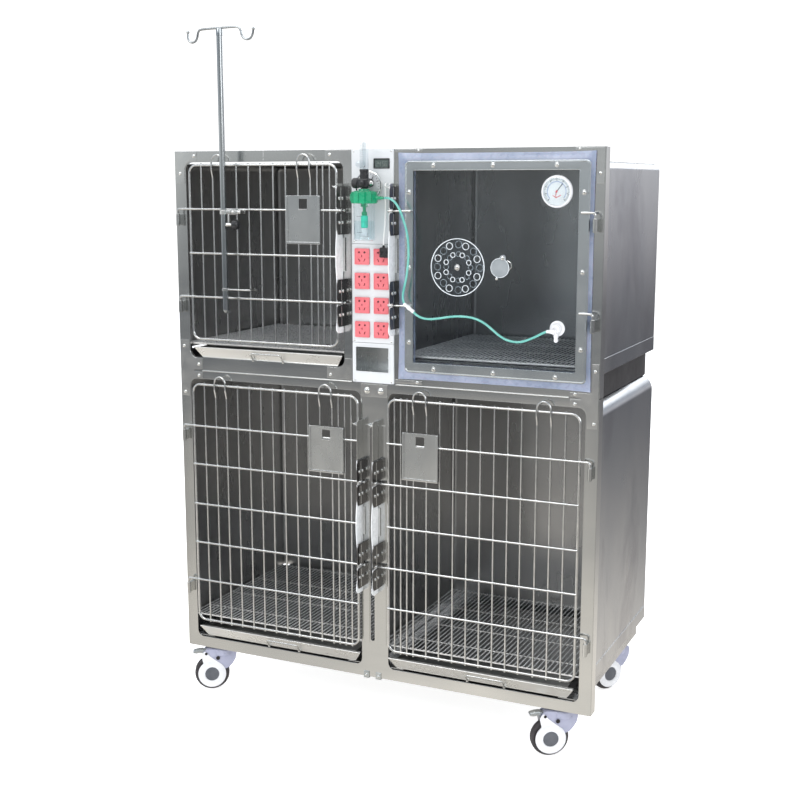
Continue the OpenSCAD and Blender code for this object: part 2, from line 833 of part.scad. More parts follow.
// Pole clamp: block gripping the top cross rod, and the lower guide
module iv_clamp() {
    z = ul_rods[0];
    low = 1055;
    y1 = rod_y - rod_d / 2 - 0.1;
    color("silver") cabinet() {
        difference() {
            union() {
                slab([pole_x - 13, pole_y - 12, z - 16], [pole_x + 13, pole_y + 12, z + 2]);
                slab([pole_x + 10, pole_y + 2, z - 12], [pole_x + 52, y1, z - 1]);
            }
            bar_z(pole_x, pole_y, z - 20, z + 5, pole_r + fit);
        }
        difference() {
            union() {
                bar_z(pole_x, pole_y, low - 5, low + 5, 11);
                slab([pole_x + 8, pole_y - 3, low - 3], [pole_x + 76, pole_y + 3, low + 3]);
                slab([pole_x + 70, pole_y, low - 3], [pole_x + 76, wire_y - wire_d / 2 - 0.1, low + 3]);
            }
            bar_z(pole_x, pole_y, low - 6, low + 6, pole_r + fit);
        }
        bar_x(pole_x + 10, pole_x + 40, pole_y, z - 40, 5);
        bar_x(pole_x + 40, pole_x + 48, pole_y, z - 40, 11);
        slab([pole_x + 14, pole_y - 3, z - 40], [pole_x + 20, pole_y + 3, z - 12.5]);
    }
}

// Hook of the pole: a drop, a half turn and a raised tip
module iv_hook(w, drop, r) {
    bar_z(0, 0, -drop, 0, r);
    translate([w / 2, 0, -drop])
        rotate([90, 0, 0])
            rotate_extrude(angle = -180, $fn = 48)
                translate([w / 2, 0])
                    circle(r = r, $fn = 24);
    bar_z(w, 0, -drop, -2, r);
}

module iv_pole() {
    r = 3;
    half = 60;
    z = pole_z1 - 2;
    color("lightsteelblue") cabinet() {
        difference() {
            bar_z(pole_x, pole_y, pole_z0, pole_z1, pole_r);
            bar_z(pole_x, pole_y, pole_z0 + 10, pole_z1 - 10, pole_r - 1.2);
        }
        for (s = [0, 1])
            translate([pole_x, pole_y, z])
                mirror([s, 0, 0]) {
                    bar_x(pole_r - 2, half, 0, 0, r);
                    translate([half, 0, 0]) iv_hook(36, 22, r);
                    translate([half, 0, 0]) sphere(r = r, $fn = 24);
                }
        bar_y(pole_x, pole_y, pole_y + 16, pole_z0 + 5, 5);
    }
}

// Tray: open pan, sloped-end front plate with a lip, and a bent-rod handle
module tray(x0, x1, z) {
    t = 1.5;
    in = 20;
    h = tray_h;
    y0 = 4;
    slab([x0 + in, y0, z], [x1 - in, tray_d, z + t]);
    slab([x0 + in, tray_d - t, z + t + seam], [x1 - in, tray_d, z + h]);
    for (x = [x0 + in, x1 - in - t])
        slab([x, y0, z + t + seam], [x + t, tray_d - t - seam, z + h]);
    translate([0, y0 - seam, 0])
        rotate([90, 0, 0])
            linear_extrude(t)
                polygon([[x0 + in, z], [x1 - in, z], [x1, z + h], [x0, z + h]]);
    slab([x0, -9, z + h + seam], [x1, y0 - seam, z + h + t]);
}

module tray_handle(x0, x1, z) {
    for (x = [x0, x1])
        slab([x - 2.5, -26, z - 2.5], [x + 2.5, 3.2, z + 2.5]);
    slab([x0 - 2.5, -28.5, z - 2.5], [x1 + 2.5, -25, z + 2.5]);
}

module tray_ul() {
    color("cornsilk") cabinet() {
        tray(52, 519, tray_ul_z);
        tray_handle(239, 334, tray_ul_z + 14);
    }
}

module tray_ll() {
    color("cornsilk") cabinet() {
        tray(46, 567, tray_low_z);
        tray_handle(274, 372, tray_low_z + 14);
    }
}

module tray_lr() {
    color("cornsilk") cabinet() {
        tray(653, 1174, tray_low_z);
        tray_handle(882, 986, tray_low_z + 14);
    }
}

// Casters, in their own frame: swivel axis on z, wheel trailing towards -x
wheel_z = wheel_d / 2 - base_h;
pedal_x = -52;
pedal_z = -17;
module at_caster(i) {
    cabinet()
        translate([caster_spots[i][0], caster_spots[i][1], 0])
            rotate([0, 0, swings[i]])
                children();
}

module fork_leg() {
    t = 4;
    rotate([90, 0, 0])
        translate([0, 0, -t / 2])
            linear_extrude(t)
                union() {
                    translate([-trail, wheel_z]) circle(r = 41, $fn = 64);
                    polygon([[-trail - 30, wheel_z + 27], [pedal_x - 8, pedal_z + 4], [pedal_x - 4, -8],
                        [24, -8], [26, -26], [-trail + 39, wheel_z + 12]]);
                }
}

module caster_fork(braked) {
    side = wheel_w / 2 + 4;
    difference() {
        union() {
            for (s = [-side, side])
                translate([0, s, 0]) fork_leg();
            bar_z(0, 0, -24, -3, 27);
        }
        slab([-100, -side + 2, -140], [100, side - 2, -24]);
    }
    bar_z(0, 0, -4, 2.5, stem_r);
    bar_y(-trail, -side - 4, side + 4, wheel_z, axle_r);
    for (s = [-1, 1])
        translate([0, s * (side + 3), 0])
            bar_y(-trail, -1.2, 1.2, wheel_z, 20);
    if (braked)
        bar_y(pedal_x, -side, side, pedal_z, 2.5);
}

module caster_wheel() {
    difference() {
        bar_y(-trail, -wheel_w / 2, wheel_w / 2, wheel_z, wheel_d / 2);
        bar_y(-trail, -wheel_w, wheel_w, wheel_z, axle_r + fit);
    }
}

module brake_pedal() {
    difference() {
        union() {
            bar_y(pedal_x, -11, 11, pedal_z, 5);
            translate([0, 11, 0])
                rotate([90, 0, 0])
                    linear_extrude(22)
                        polygon([[pedal_x, pedal_z - 4], [pedal_x, pedal_z + 4], [-78, -11], [-90, -15],
                            [-90, -18], [-80, -21]]);
        }
        bar_y(pedal_x, -20, 20, pedal_z, 2.5 + fit);
    }
}

module caster_fork_fl() { color("lavender") at_caster(0) caster_fork(true); }
module caster_fork_fr() { color("lavender") at_caster(1) caster_fork(true); }
module caster_fork_rl() { color("lavender") at_caster(2) caster_fork(false); }
module caster_fork_rr() { color("lavender") at_caster(3) caster_fork(false); }
module caster_wheel_fl() { color("dimgray") at_caster(0) caster_wheel(); }
module caster_wheel_fr() { color("dimgray") at_caster(1) caster_wheel(); }
module caster_wheel_rl() { color("dimgray") at_caster(2) caster_wheel(); }
module caster_wheel_rr() { color("dimgray") at_caster(3) caster_wheel(); }
module brake_pedal_fl() { color("silver") at_caster(0) brake_pedal(); }
module brake_pedal_fr() { color("silver") at_caster(1) brake_pedal(); }

shell_upper_left();
shell_upper_right();
shell_lower_left();
shell_lower_right();
panel_housing();
plinth_upper();
plinth_lower();
base_rails();
front_frame_upper();
front_frame_lower();
corner_plates();
frame_rivets();
catch_plates();
floor_grids();
control_panel();
socket_modules();
panel_pocket();
panel_display();
flowmeter_body();
flowmeter_tube();
flow_knob();
humidifier_cap();
humidifier_bottle();
plug_adapter();
sensor_lead();
door_ring_ur();
door_pane_ur();
door_gasket_ur();
door_screws_ur();
dial_gauge();
oxygen_port();
oxygen_hose();
hose_connector();
vent_disc();
port_cover();
wire_door_ul();
wire_door_ll();
wire_door_lr();
card_holder_ul();
card_holder_ll();
card_holder_lr();
iv_clamp();
iv_pole();
latch_bar_ul();
latch_bar_ur();
latch_bar_ll();
latch_bar_lr();
tray_ul();
tray_ll();
tray_lr();
caster_fork_fl();
caster_fork_fr();
caster_fork_rl();
caster_fork_rr();
caster_wheel_fl();
caster_wheel_fr();
caster_wheel_rl();
caster_wheel_rr();
brake_pedal_fl();
brake_pedal_fr();
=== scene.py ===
"""Kennel cage with an oxygen chamber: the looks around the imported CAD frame.

Pieces are built in cabinet millimetres (x from the left edge, y back from the front
frame's face, z up from the frame's bottom edge) and put into the row frame by TO_ROW.
"""

import math

import bmesh
import bpy
from mathutils import Matrix, Vector


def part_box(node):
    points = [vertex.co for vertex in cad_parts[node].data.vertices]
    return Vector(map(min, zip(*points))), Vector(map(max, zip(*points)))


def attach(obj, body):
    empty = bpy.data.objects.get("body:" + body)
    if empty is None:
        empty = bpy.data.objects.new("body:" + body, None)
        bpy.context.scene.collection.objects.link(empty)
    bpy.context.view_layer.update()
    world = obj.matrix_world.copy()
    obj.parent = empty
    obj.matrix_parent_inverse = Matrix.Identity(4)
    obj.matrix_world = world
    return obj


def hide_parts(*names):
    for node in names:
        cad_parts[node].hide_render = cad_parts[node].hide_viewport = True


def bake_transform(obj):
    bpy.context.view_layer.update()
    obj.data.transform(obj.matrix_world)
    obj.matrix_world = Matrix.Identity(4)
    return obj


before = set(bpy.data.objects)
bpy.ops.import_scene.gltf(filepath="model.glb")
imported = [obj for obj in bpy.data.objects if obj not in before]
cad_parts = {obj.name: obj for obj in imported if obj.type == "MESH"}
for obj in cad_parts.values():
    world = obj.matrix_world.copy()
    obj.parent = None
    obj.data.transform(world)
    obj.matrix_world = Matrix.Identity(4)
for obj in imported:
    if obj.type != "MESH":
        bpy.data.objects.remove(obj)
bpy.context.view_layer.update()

MM = 0.001
FRAME_SHEET = 2
upper_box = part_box("front_frame_upper")
ORIGIN = Vector((upper_box[0].x, upper_box[1].y - FRAME_SHEET * MM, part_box("front_frame_lower")[0].z))
TO_ROW = Matrix.Translation(ORIGIN) @ Matrix.Diagonal((MM, MM, MM, 1))
FROM_ROW = TO_ROW.inverted()


def add(name, data):
    o = bpy.data.objects.new(name, data)
    bpy.context.scene.collection.objects.link(o)
    return o


# ---------------------------------------------------------------- camera
camera = add("camera", bpy.data.cameras.new("camera"))
camera.data.sensor_width = 36
camera.data.lens = 56.12
camera.data.clip_end = 60
camera.location = ORIGIN + Vector((2038.9, -2917.9, 1336.9)) * MM
camera.rotation_euler = (math.radians(80.17), 0, math.radians(24.89))
bpy.context.scene.camera = camera


# ---------------------------------------------------------------- materials
def node(nt, kind, **inputs):
    """A new node; each input named is linked to the socket given for it, or takes the value."""
    n = nt.nodes.new("ShaderNode" + kind)
    for key, value in inputs.items():
        socket = n.inputs[key.replace("_", " ")]
        if isinstance(value, bpy.types.NodeSocket):
            nt.links.new(value, socket)
        else:
            socket.default_value = value
    return n


def noise(nt, scale, stretch=(1, 1, 1), detail=3, rough=0.6, distortion=0, space="Object"):
    """Noise over the object's own coordinates, stretched along an axis."""
    at = node(nt, "Mapping", Vector=node(nt, "TexCoord").outputs[space], Scale=stretch).outputs["Vector"]
    return node(nt, "TexNoise", Vector=at, Scale=scale, Detail=detail, Roughness=rough,
        Distortion=distortion).outputs["Fac"]


def ranged(nt, value, lo, hi, a=0.3, b=0.7):
    """A value's range from a to b, put onto lo to hi."""
    return node(nt, "MapRange", Value=value, From_Min=a, From_Max=b, To_Min=lo, To_Max=hi).outputs["Result"]


def mixed(nt, fac, c1, c2):
    mx = nt.nodes.new("ShaderNodeMix")
    mx.data_type = "RGBA"
    for socket, c in ((mx.inputs[6], c1), (mx.inputs[7], c2)):
        if hasattr(c, "node"):
            nt.links.new(c, socket)
        else:
            socket.default_value = (*c, 1)
    nt.links.new(fac, mx.inputs[0])
    return mx.outputs[2]


def material(name, c1, c2, rough=(0.3, 0.4), metal=0, cscale=6, rscale=30, bump=0, bscale=300,
        cstretch=(1, 1, 1), rstretch=(1, 1, 1), bstretch=(1, 1, 1), coat=0, spots=None, **sockets):
    """Colour, roughness and bump each have a noise of their own scale and stretch."""
    m = bpy.data.materials.new(name)
    m.use_nodes = True
    nt = m.node_tree
    b = nt.nodes["Principled BSDF"]
    col = mixed(nt, ranged(nt, noise(nt, cscale, cstretch), 0, 1), c1, c2)
    if spots:
        colour, scale, a, z, strength = spots
        mask = ranged(nt, noise(nt, scale, cstretch, 5, 0.65, 0.4), 0, strength, a, z)
        col = mixed(nt, mask, col, colour)
    nt.links.new(col, b.inputs["Base Color"])
    nt.links.new(ranged(nt, noise(nt, rscale, rstretch, 4), *rough), b.inputs["Roughness"])
    b.inputs["Metallic"].default_value = metal
    if coat:
        b.inputs["Coat Weight"].default_value = coat
        b.inputs["Coat Roughness"].default_value = 0.08
    for key, value in sockets.items():
        b.inputs[key.replace("_", " ")].default_value = value
    if bump:
        bn = node(nt, "Bump", Strength=bump, Distance=0.0004)
        nt.links.new(noise(nt, bscale, bstretch, 4, 0.7), bn.inputs["Height"])
        nt.links.new(bn.outputs["Normal"], b.inputs["Normal"])
    return m


def clear(name, tint, gloss=0.05, rough=0.03, edge=0.5):
    """Thin clear plastic: mostly seen through, with a surface gloss that grows to the edge."""
    m = bpy.data.materials.new(name)
    m.use_nodes = True
    nt = m.node_tree
    tr = node(nt, "BsdfTransparent")
    gl = nt.nodes["Principled BSDF"]
    gl.inputs["Metallic"].default_value = 1
    nt.links.new(mixed(nt, ranged(nt, noise(nt, 7), 0, 1), (0.86, 0.9, 0.94), (0.96, 0.98, 1)),
        gl.inputs["Base Color"])
    nt.links.new(ranged(nt, noise(nt, 9), rough, rough * 2.2), gl.inputs["Roughness"])
    dark = tuple(v * 0.97 for v in tint)
    nt.links.new(mixed(nt, ranged(nt, noise(nt, 5), 0, 1), tint, dark), tr.inputs["Color"])
    lw = node(nt, "LayerWeight", Blend=0.35)
    mix = node(nt, "MixShader")
    nt.links.new(ranged(nt, lw.outputs["Facing"], gloss, edge, 0.35, 1), mix.inputs["Fac"])
    nt.links.new(tr.outputs[0], mix.inputs[1])
    nt.links.new(gl.outputs[0], mix.inputs[2])
    nt.links.new(mix.outputs[0], nt.nodes["Material Output"].inputs["Surface"])
    return m


X_GRAIN, Z_GRAIN = (0.02, 1, 1), (1, 1, 0.02)
M = {
    # name, two colours, roughness, metal, the noise scales of both, bump and its scale; then the stretches
    "frame": material("frame_steel", (0.52, 0.53, 0.53), (0.68, 0.68, 0.66), (0.15, 0.2), 1, 4, 30, 0.01,
        500, (0.35, 1, 0.6), (0.2, 1, 1), X_GRAIN),
    "gusset": material("gusset_steel", (0.62, 0.62, 0.61), (0.78, 0.78, 0.76), (0.18, 0.25), 1, 8, 40, 0.01,
        500, bstretch=Z_GRAIN),
    "side": material("side_steel", (0.4, 0.42, 0.45), (0.56, 0.565, 0.57), (0.21, 0.29), 1, 2.6, 5,
        cstretch=(1, 1, 0.6), rstretch=(1, 1, 0.5), spots=((0.25, 0.25, 0.28), 3.4, 0.52, 0.7, 0.6)),
    "inside": material("inside_steel", (0.4, 0.4, 0.4), (0.6, 0.595, 0.59), (0.24, 0.32), 1, 3, 5,
        cstretch=(1, 1, 0.5), rstretch=(1, 1, 0.4)),
    "plinth": material("plinth_black", (0.012, 0.011, 0.012), (0.028, 0.026, 0.028), (0.4, 0.52), 0, 8, 20),
    "base": material("base_steel", (0.46, 0.47, 0.48), (0.6, 0.6, 0.6), (0.22, 0.36), 1, 6, 200, 0.04, 500,
        rstretch=X_GRAIN, bstretch=X_GRAIN),
    "rivet": material("rivet_steel", (0.78, 0.78, 0.77), (0.92, 0.92, 0.9), (0.07, 0.16), 1, 90, 400),
    "wire": material("wire_steel", (0.6, 0.61, 0.61), (0.78, 0.78, 0.77), (0.14, 0.24), 1, 40, 300,
        0.03, 900),
    # Catch plates: polished steel whose dark colour is a painted reflection of dark surroundings
    "catch": material("catch_steel", (0.11, 0.11, 0.115), (0.24, 0.23, 0.225), (0.05, 0.11), 1,
        18, 60, 0.02),
    # Latch bars: polished steel given white satin paint, a painted reflection of the bright surroundings
    "latch": material("latch_white", (0.8, 0.81, 0.82), (0.88, 0.885, 0.89), (0.22, 0.34), 0, 14, 60, 0.05,
        500, coat=0.4),
    "white": material("panel_white", (0.57, 0.585, 0.6), (0.64, 0.65, 0.66), (0.3, 0.42), 0, 4, 90, 0.08,
        1300, coat=0.15),
    "red": material("socket_red", (0.62, 0.13, 0.15), (0.72, 0.18, 0.2), (0.26, 0.36), 0, 25, 80, 0.05,
        900, coat=0.2),
    # Near-black fill for holes, slots and openings: painted shade of their depth
    "dark": material("hole_painted_shade", (0.008, 0.006, 0.006), (0.02, 0.016, 0.016), (0.5, 0.7), 0, 60),
    "black": material("black_plastic", (0.012, 0.012, 0.014), (0.03, 0.03, 0.033), (0.22, 0.36), 0, 40, 120,
        0.06, 900),
    "lcd": material("display_dark", (0.045, 0.062, 0.058), (0.075, 0.095, 0.088), (0.12, 0.2), 0, 20,
        60, coat=0.6),
    "lcd_digit": material("display_digit", (0.16, 0.19, 0.17), (0.2, 0.23, 0.21), cscale=40),
    "green": material("cap_green", (0.004, 0.22, 0.1), (0.01, 0.3, 0.145), (0.22, 0.34), 0, 30, 90, 0.05,
        700, coat=0.3),
    "teal": material("diffuser_teal", (0.02, 0.55, 0.38), (0.05, 0.66, 0.47), (0.35, 0.5), 0, 90, 200,
        0.25, 1500),
    "hose": material("hose_teal", (0.09, 0.38, 0.33), (0.19, 0.5, 0.44), (0.16, 0.28), 0, 20, 90, 0.03,
        600, coat=0.5),
    "lead": material("lead_white", (0.78, 0.78, 0.77), (0.86, 0.86, 0.85), (0.35, 0.5), 0, 30, 90,
        0.05, 900),
    "gasket": material("gasket_lavender", (0.18, 0.22, 0.31), (0.33, 0.36, 0.47), (0.22, 0.36), 0, 9, 60,
        0.06, 400, coat=0.4, Subsurface_Weight=0.1, Subsurface_Scale=0.01),
    "ring": material("door_steel", (0.56, 0.6, 0.62), (0.72, 0.75, 0.76), (0.2, 0.28), 1, 3, 12, 0.006,
        cstretch=(0.6, 1, 0.6)),
    "edge": material("cut_edge", (0.62, 0.66, 0.69), (0.76, 0.8, 0.82), (0.25, 0.4), 0, 60, coat=0.3),
    # A darker copy of the cut edge: painted shade for hole rims that sit behind the vent disc
    "dim_edge": material("cut_edge_painted_shade", (0.48, 0.52, 0.55), (0.62, 0.66, 0.69), (0.3, 0.45), 0, 60),
    "frost": material("cover_frosted", (0.2, 0.22, 0.235), (0.28, 0.3, 0.315), (0.35, 0.5), 0, 30,
        60, 0.1, 900),
    "dial": material("dial_face", (0.76, 0.76, 0.75), (0.84, 0.835, 0.82), (0.4, 0.5), 0, 30),
    "plastic": material("white_plastic", (0.67, 0.67, 0.69), (0.75, 0.75, 0.765), (0.2, 0.32), 0, 20, 80,
        0.04, 700, coat=0.3),
    "ink": material("dial_ink", (0.03, 0.03, 0.04), (0.08, 0.08, 0.09), (0.4, 0.5), 0, 60),
    "blue_ink": material("dial_blue", (0.16, 0.24, 0.5), (0.24, 0.32, 0.6), (0.4, 0.5), 0, 60),
    "hand_red": material("dial_red", (0.65, 0.04, 0.05), (0.75, 0.07, 0.08), cscale=60),
    "card": material("card_steel", (0.52, 0.535, 0.54), (0.68, 0.69, 0.68), (0.22, 0.3), 1, 9, 20,
        cstretch=(1, 1, 0.7), rstretch=(1, 1, 0.5)),
    "tray": material("tray_steel", (0.76, 0.755, 0.74), (0.9, 0.89, 0.86), (0.24, 0.34), 0.9, 4, 30, 0.01,
        400, (0.4, 1, 1), (0.3, 1, 1), X_GRAIN),
    # Tray pans and grid ledges: a darker copy of the tray steel, painted shade under the floor grids
    "pan": material("pan_steel_painted_shade", (0.24, 0.237, 0.23), (0.36, 0.355, 0.345), (0.32, 0.44), 1, 9, 60, 0.02,
        400, rstretch=X_GRAIN, bstretch=X_GRAIN),
    # Floor-grid steel: bright steel whose near-white, mostly diffuse colour is partly painted light on the
    # rods' tops, for the cross bars too
    "grid": material("grid_steel_partly_painted_light", (0.82, 0.83, 0.85), (0.94, 0.94, 0.94), (0.22, 0.34), 0.2, 30, 200,
        0.03, 700),
    "grid_bar": material("grid_cross_steel_partly_painted_light", (0.68, 0.67, 0.65), (0.88, 0.86, 0.83), (0.24, 0.36), 0.25, 30,
        200, 0.03, 700),
    "lavender": material("housing_lavender", (0.3, 0.31, 0.41), (0.38, 0.385, 0.49), (0.28, 0.42), 0, 20,
        80, 0.06, 800, coat=0.15),
    "cap_grey": material("axle_cap", (0.075, 0.08, 0.095), (0.115, 0.12, 0.135), (0.35, 0.5), 0, 40, 90,
        0.06, 800),
    "tread": material("tread_grey", (0.03, 0.026, 0.028), (0.06, 0.054, 0.058), (0.5, 0.68), 0, 30,
        90, 0.2, 700),
    "zinc": material("pedal_zinc", (0.52, 0.56, 0.58), (0.7, 0.73, 0.74), (0.26, 0.42), 1, 40,
        140, 0.1, 500),
    "pole": material("pole_steel", (0.36, 0.385, 0.4), (0.5, 0.52, 0.53), (0.12, 0.2), 1, 7, 60, 0.01, 500,
        (1, 1, 0.3), (1, 1, 0.2), Z_GRAIN),
    "pane": clear("pane_clear", (0.95, 0.965, 0.975), 0.045, 0.03, 0.4),
    "glass": clear("clear_plastic", (0.95, 0.97, 0.98), 0.08, 0.04, 0.8),
    "water": clear("bottle_water", (0.92, 0.97, 0.98), 0.05, 0.04, 0.5),
}


# ---------------------------------------------------------------- outlines and lines
def circle(cx, cz, r, n=24):
    angles = [2 * math.pi * k / n for k in range(n)]
    return [(cx + r * math.cos(a), cz + r * math.sin(a)) for a in angles]


def arc(cx, cz, r, a0, a1, n=6):
    angles = [math.radians(a0 + (a1 - a0) * k / n) for k in range(n + 1)]
    return [(cx + r * math.cos(a), cz + r * math.sin(a)) for a in angles]


def corners(x0, z0, x1, z1, r):
    """The centres of a rounded rectangle's corners, each with the angle at which its arc starts."""
    return (x1 - r, z1 - r, 0), (x0 + r, z1 - r, 90), (x0 + r, z0 + r, 180), (x1 - r, z0 + r, 270)


def rrect(x0, z0, x1, z1, r=0, seg=5):
    if r == 0:
        return [(x0, z0), (x1, z0), (x1, z1), (x0, z1)]
    return [q for cx, cz, a0 in corners(x0, z0, x1, z1, r) for q in arc(cx, cz, r, a0, a0 + 90, seg)]


def fillet(pts, r, seg=5, closed=False):
    """Rounds the corners of a line of points."""
    pts = [Vector(p) for p in pts]
    out, m = [], len(pts)
    for i, p in enumerate(pts):
        a, b = pts[i - 1] - p, pts[(i + 1) % m] - p
        if (not closed and i in (0, m - 1)) or a.angle(b) > math.radians(176):
            out.append(p)
            continue
        d = min(r / math.tan(a.angle(b) / 2), a.length * 0.49, b.length * 0.49)
        s, e = p + a.normalized() * d, p + b.normalized() * d
        for t in [k / seg for k in range(seg + 1)]:
            out.append(s * (1 - t) ** 2 + p * 2 * t * (1 - t) + e * t * t)
    return out


def smooth_line(pts, step):
    """A Catmull-Rom curve through the points, with a point about every step."""
    pts = [Vector(p) for p in pts]
    out = []
    for i in range(len(pts) - 1):
        p0, p1, p2, p3 = pts[max(i - 1, 0)], pts[i], pts[i + 1], pts[min(i + 2, len(pts) - 1)]
        n = max(1, round((p2 - p1).length / step))
        for t in [k / n for k in range(n)]:
            out.append(0.5 * (2 * p1 + (p2 - p0) * t + (2 * p0 - 5 * p1 + 4 * p2 - p3) * t * t
                + (3 * p1 - p0 - 3 * p2 + p3) * t ** 3))
    return out + [pts[-1]]


def turned(at, degrees, axis="Y"):
    """A turn about an axis, then a move to a point."""
    return Matrix.Translation(at) @ Matrix.Rotation(math.radians(degrees), 4, axis)


def mirrored(profile):
    """A turned profile made whole: what is given of it above the middle is repeated below."""
    return [(r, -h) for r, h in profile[::-1] if h] + profile


# ---------------------------------------------------------------- mesh building
def skin(part, rings, closed=False, caps=False, crossed=False):
    """Faces between rings of vertices, in a row or closed; crossed starts each face along the row."""
    for a, b in zip(rings, rings[1:] + rings[:1] * closed):
        n = len(a)
        for k in range(n):
            q = (a[k], a[(k + 1) % n], b[(k + 1) % n], b[k])
            part.faces.new((q[0], q[3], q[2], q[1]) if crossed else q)
    if caps:
        part.faces.new(rings[0][::-1])
        part.faces.new(rings[-1])


def mesh_from(o):
    """The mesh that an object's curve or modifiers make."""
    bpy.context.view_layer.update()
    return bpy.data.meshes.new_from_object(o.evaluated_get(bpy.context.evaluated_depsgraph_get()))


class Piece:
    """Collects geometry in cabinet millimetres; each part takes the current material."""

    def __init__(self, name, body, slot, *nodes, at=None):
        self.name, self.body, self.slot, self.nodes = name, body, slot, nodes
        self.bm = bmesh.new()
        self.mats, self.index = [], 0
        self.place = at or Matrix.Identity(4)

    def use(self, key):
        if key not in self.mats:
            self.mats.append(key)
        self.index = self.mats.index(key)
        return self

    def take(self, part, matrix=None, outward=False):
        """Adds another bmesh's geometry, in the current material."""
        if outward:
            bmesh.ops.recalc_face_normals(part, faces=part.faces)
        if matrix is not None:
            part.transform(matrix)
        start = len(self.bm.faces)
        mesh = bpy.data.meshes.new("part")
        part.to_mesh(mesh)
        part.free()
        self.bm.from_mesh(mesh)
        bpy.data.meshes.remove(mesh)
        self.bm.faces.ensure_lookup_table()
        for f in self.bm.faces[start:]:
            f.material_index = self.index
        return self

    def box(self, a, b, bevel=0.6, segments=2, matrix=None):
        part = bmesh.new()
        bmesh.ops.create_cube(part, size=1)
        a, b = Vector(a), Vector(b)
        part.transform(Matrix.Translation((a + b) / 2) @ Matrix.Diagonal((*(b - a), 1)))
        bevel = min(bevel, 0.45 * min(b - a))
        if bevel > 0:
            bmesh.ops.bevel(part, geom=part.edges[:], offset=bevel, segments=segments, profile=0.5,
                affect="EDGES", clamp_overlap=True)
        return self.take(part, matrix)

    def folds(self, pts, lap_back, lap_on, half_w, half_t, bevel):
        """A strip bent along a line in x and z: a box for each stretch."""
        for a, b in zip(pts, pts[1:]):
            d = b - a
            self.box((-lap_back, -half_w, -half_t), (d.length + lap_on, half_w, half_t), bevel, 1,
                Matrix.Translation(a) @ Matrix.Rotation(-math.atan2(d.z, d.x), 4, "Y"))

    def tube(self, pts, r, n=12, closed=False):
        part = bmesh.new()
        pts = [Vector(p) for p in pts]
        m = len(pts)
        radii = r if hasattr(r, "__len__") else [r] * m
        rings, normal = [], None
        for i, p in enumerate(pts):
            a = pts[(i - 1) % m] if closed or i else p
            b = pts[(i + 1) % m] if closed or i < m - 1 else p
            t = (b - a).normalized()
            if normal is None:
                normal = t.orthogonal().normalized()
            normal = (normal - t * normal.dot(t)).normalized()
            side = t.cross(normal)
            around = [(normal * c + side * s) * radii[i] for c, s in circle(0, 0, 1, n)]
            rings.append([part.verts.new(p + q) for q in around])
        if closed:
            first = rings[0]
            shift = min(range(n), key=lambda s: (rings[-1][0].co - first[s].co).length)
            rings.append(first[shift:] + first[:shift])
        skin(part, rings, caps=not closed)
        return self.take(part)

    def lathe(self, profile, centre=(0, 0, 0), axis="Y", n=40, matrix=None, hollow=False):
        """Turns (radius, height) pairs round an axis through the centre; heights run along +axis.

        A hollow one is a ring whose profile closes on itself.
        """
        part = bmesh.new()
        rings = [[part.verts.new((x, y, h)) for x, y in (circle(0, 0, r, n) if r > 1e-6 else [(0, 0)])]
            for r, h in profile]
        for a, b in zip(rings, rings[1:] + rings[:1] * hollow):
            for k in range(n):
                q = [a[k % len(a)], a[(k + 1) % len(a)], b[(k + 1) % len(b)], b[k % len(b)]]
                q = [v for i, v in enumerate(q) if v not in q[:i]]
                if len(q) > 2:
                    part.faces.new(q)
        for ends in (rings[0], rings[-1]):
            if len(ends) > 1 and not hollow:
                part.faces.new(ends)
        turn = {"Z": (0, "X"), "Y": (-90, "X"), "X": (90, "Y")}[axis]
        base = turned(centre, *turn)
        return self.take(part, base if matrix is None else matrix @ base, True)

    def plate(self, outer, holes, d0, d1, bevel=0.4, plane="XZ"):
        """A flat sheet with holes between depths d0 and d1; outlines are lists of 2D points."""
        curve = bpy.data.curves.new("outline", "CURVE")
        curve.dimensions = "2D"
        curve.fill_mode = "BOTH"
        bevel = min(bevel, 0.45 * abs(d1 - d0))
        curve.extrude = abs(d1 - d0) / 2 - bevel
        curve.bevel_depth = bevel
        curve.bevel_resolution = 1
        curve.offset = -bevel
        for loop in [outer] + list(holes):
            s = curve.splines.new("POLY")
            s.points.add(len(loop) - 1)
            for p, q in zip(s.points, loop):
                p.co = (q[0], q[1], 0, 1)
            s.use_cyclic_u = True
        o = add("outline", curve)
        mesh = mesh_from(o)
        bpy.data.objects.remove(o)
        bpy.data.curves.remove(curve)
        part = bmesh.new()
        part.from_mesh(mesh)
        bpy.data.meshes.remove(mesh)
        bmesh.ops.remove_doubles(part, verts=part.verts, dist=0.01)
        mid = (d0 + d1) / 2
        part.transform({"XZ": Matrix(((1, 0, 0, 0), (0, 0, -1, mid), (0, 1, 0, 0), (0, 0, 0, 1))),
            "YZ": Matrix(((0, 0, 1, mid), (1, 0, 0, 0), (0, 1, 0, 0), (0, 0, 0, 1)))}[plane])
        return self.take(part, None, True)

    def sweep_rect(self, rect, r, section, seg=6):
        """Sweeps a closed section of (outward offset, y) pairs round a rectangle with corner radius r."""
        part = bmesh.new()
        rings = []
        for cx, cz, a0 in corners(*rect, r):
            for nx, nz in arc(0, 0, 1, a0, a0 + 90, seg):
                rings.append([part.verts.new((cx + r * nx + nx * o, y, cz + r * nz + nz * o))
                    for o, y in section])
        skin(part, rings, closed=True, crossed=True)
        return self.take(part, None, True)

    def dome(self, x, y, z, r, h=None, axis="Y", n=20, matrix=None):
        """A domed rivet head with a thin flange; it stands towards -axis from y."""
        h = h or r * 0.62
        prof = [(r, 0), (r, -h * 0.22)]
        prof += [(r * c, -h * 0.22 - h * 0.78 * s) for c, s in arc(0, 0, 1, 15, 75, 4)]
        return self.lathe(prof + [(0, -h)], (x, y, z), axis, n, matrix)

    def ticks(self, at, n, start, step, r1, half_t, long, short=None):
        """Marks round a dial; long and short are (inner radius, half width), and every fifth is long."""
        for k in range(n):
            r0, w = short if short and k % 5 else long
            self.box((r0, -half_t, -w), (r1, half_t, w), 0, matrix=turned(at, -start + step * k))

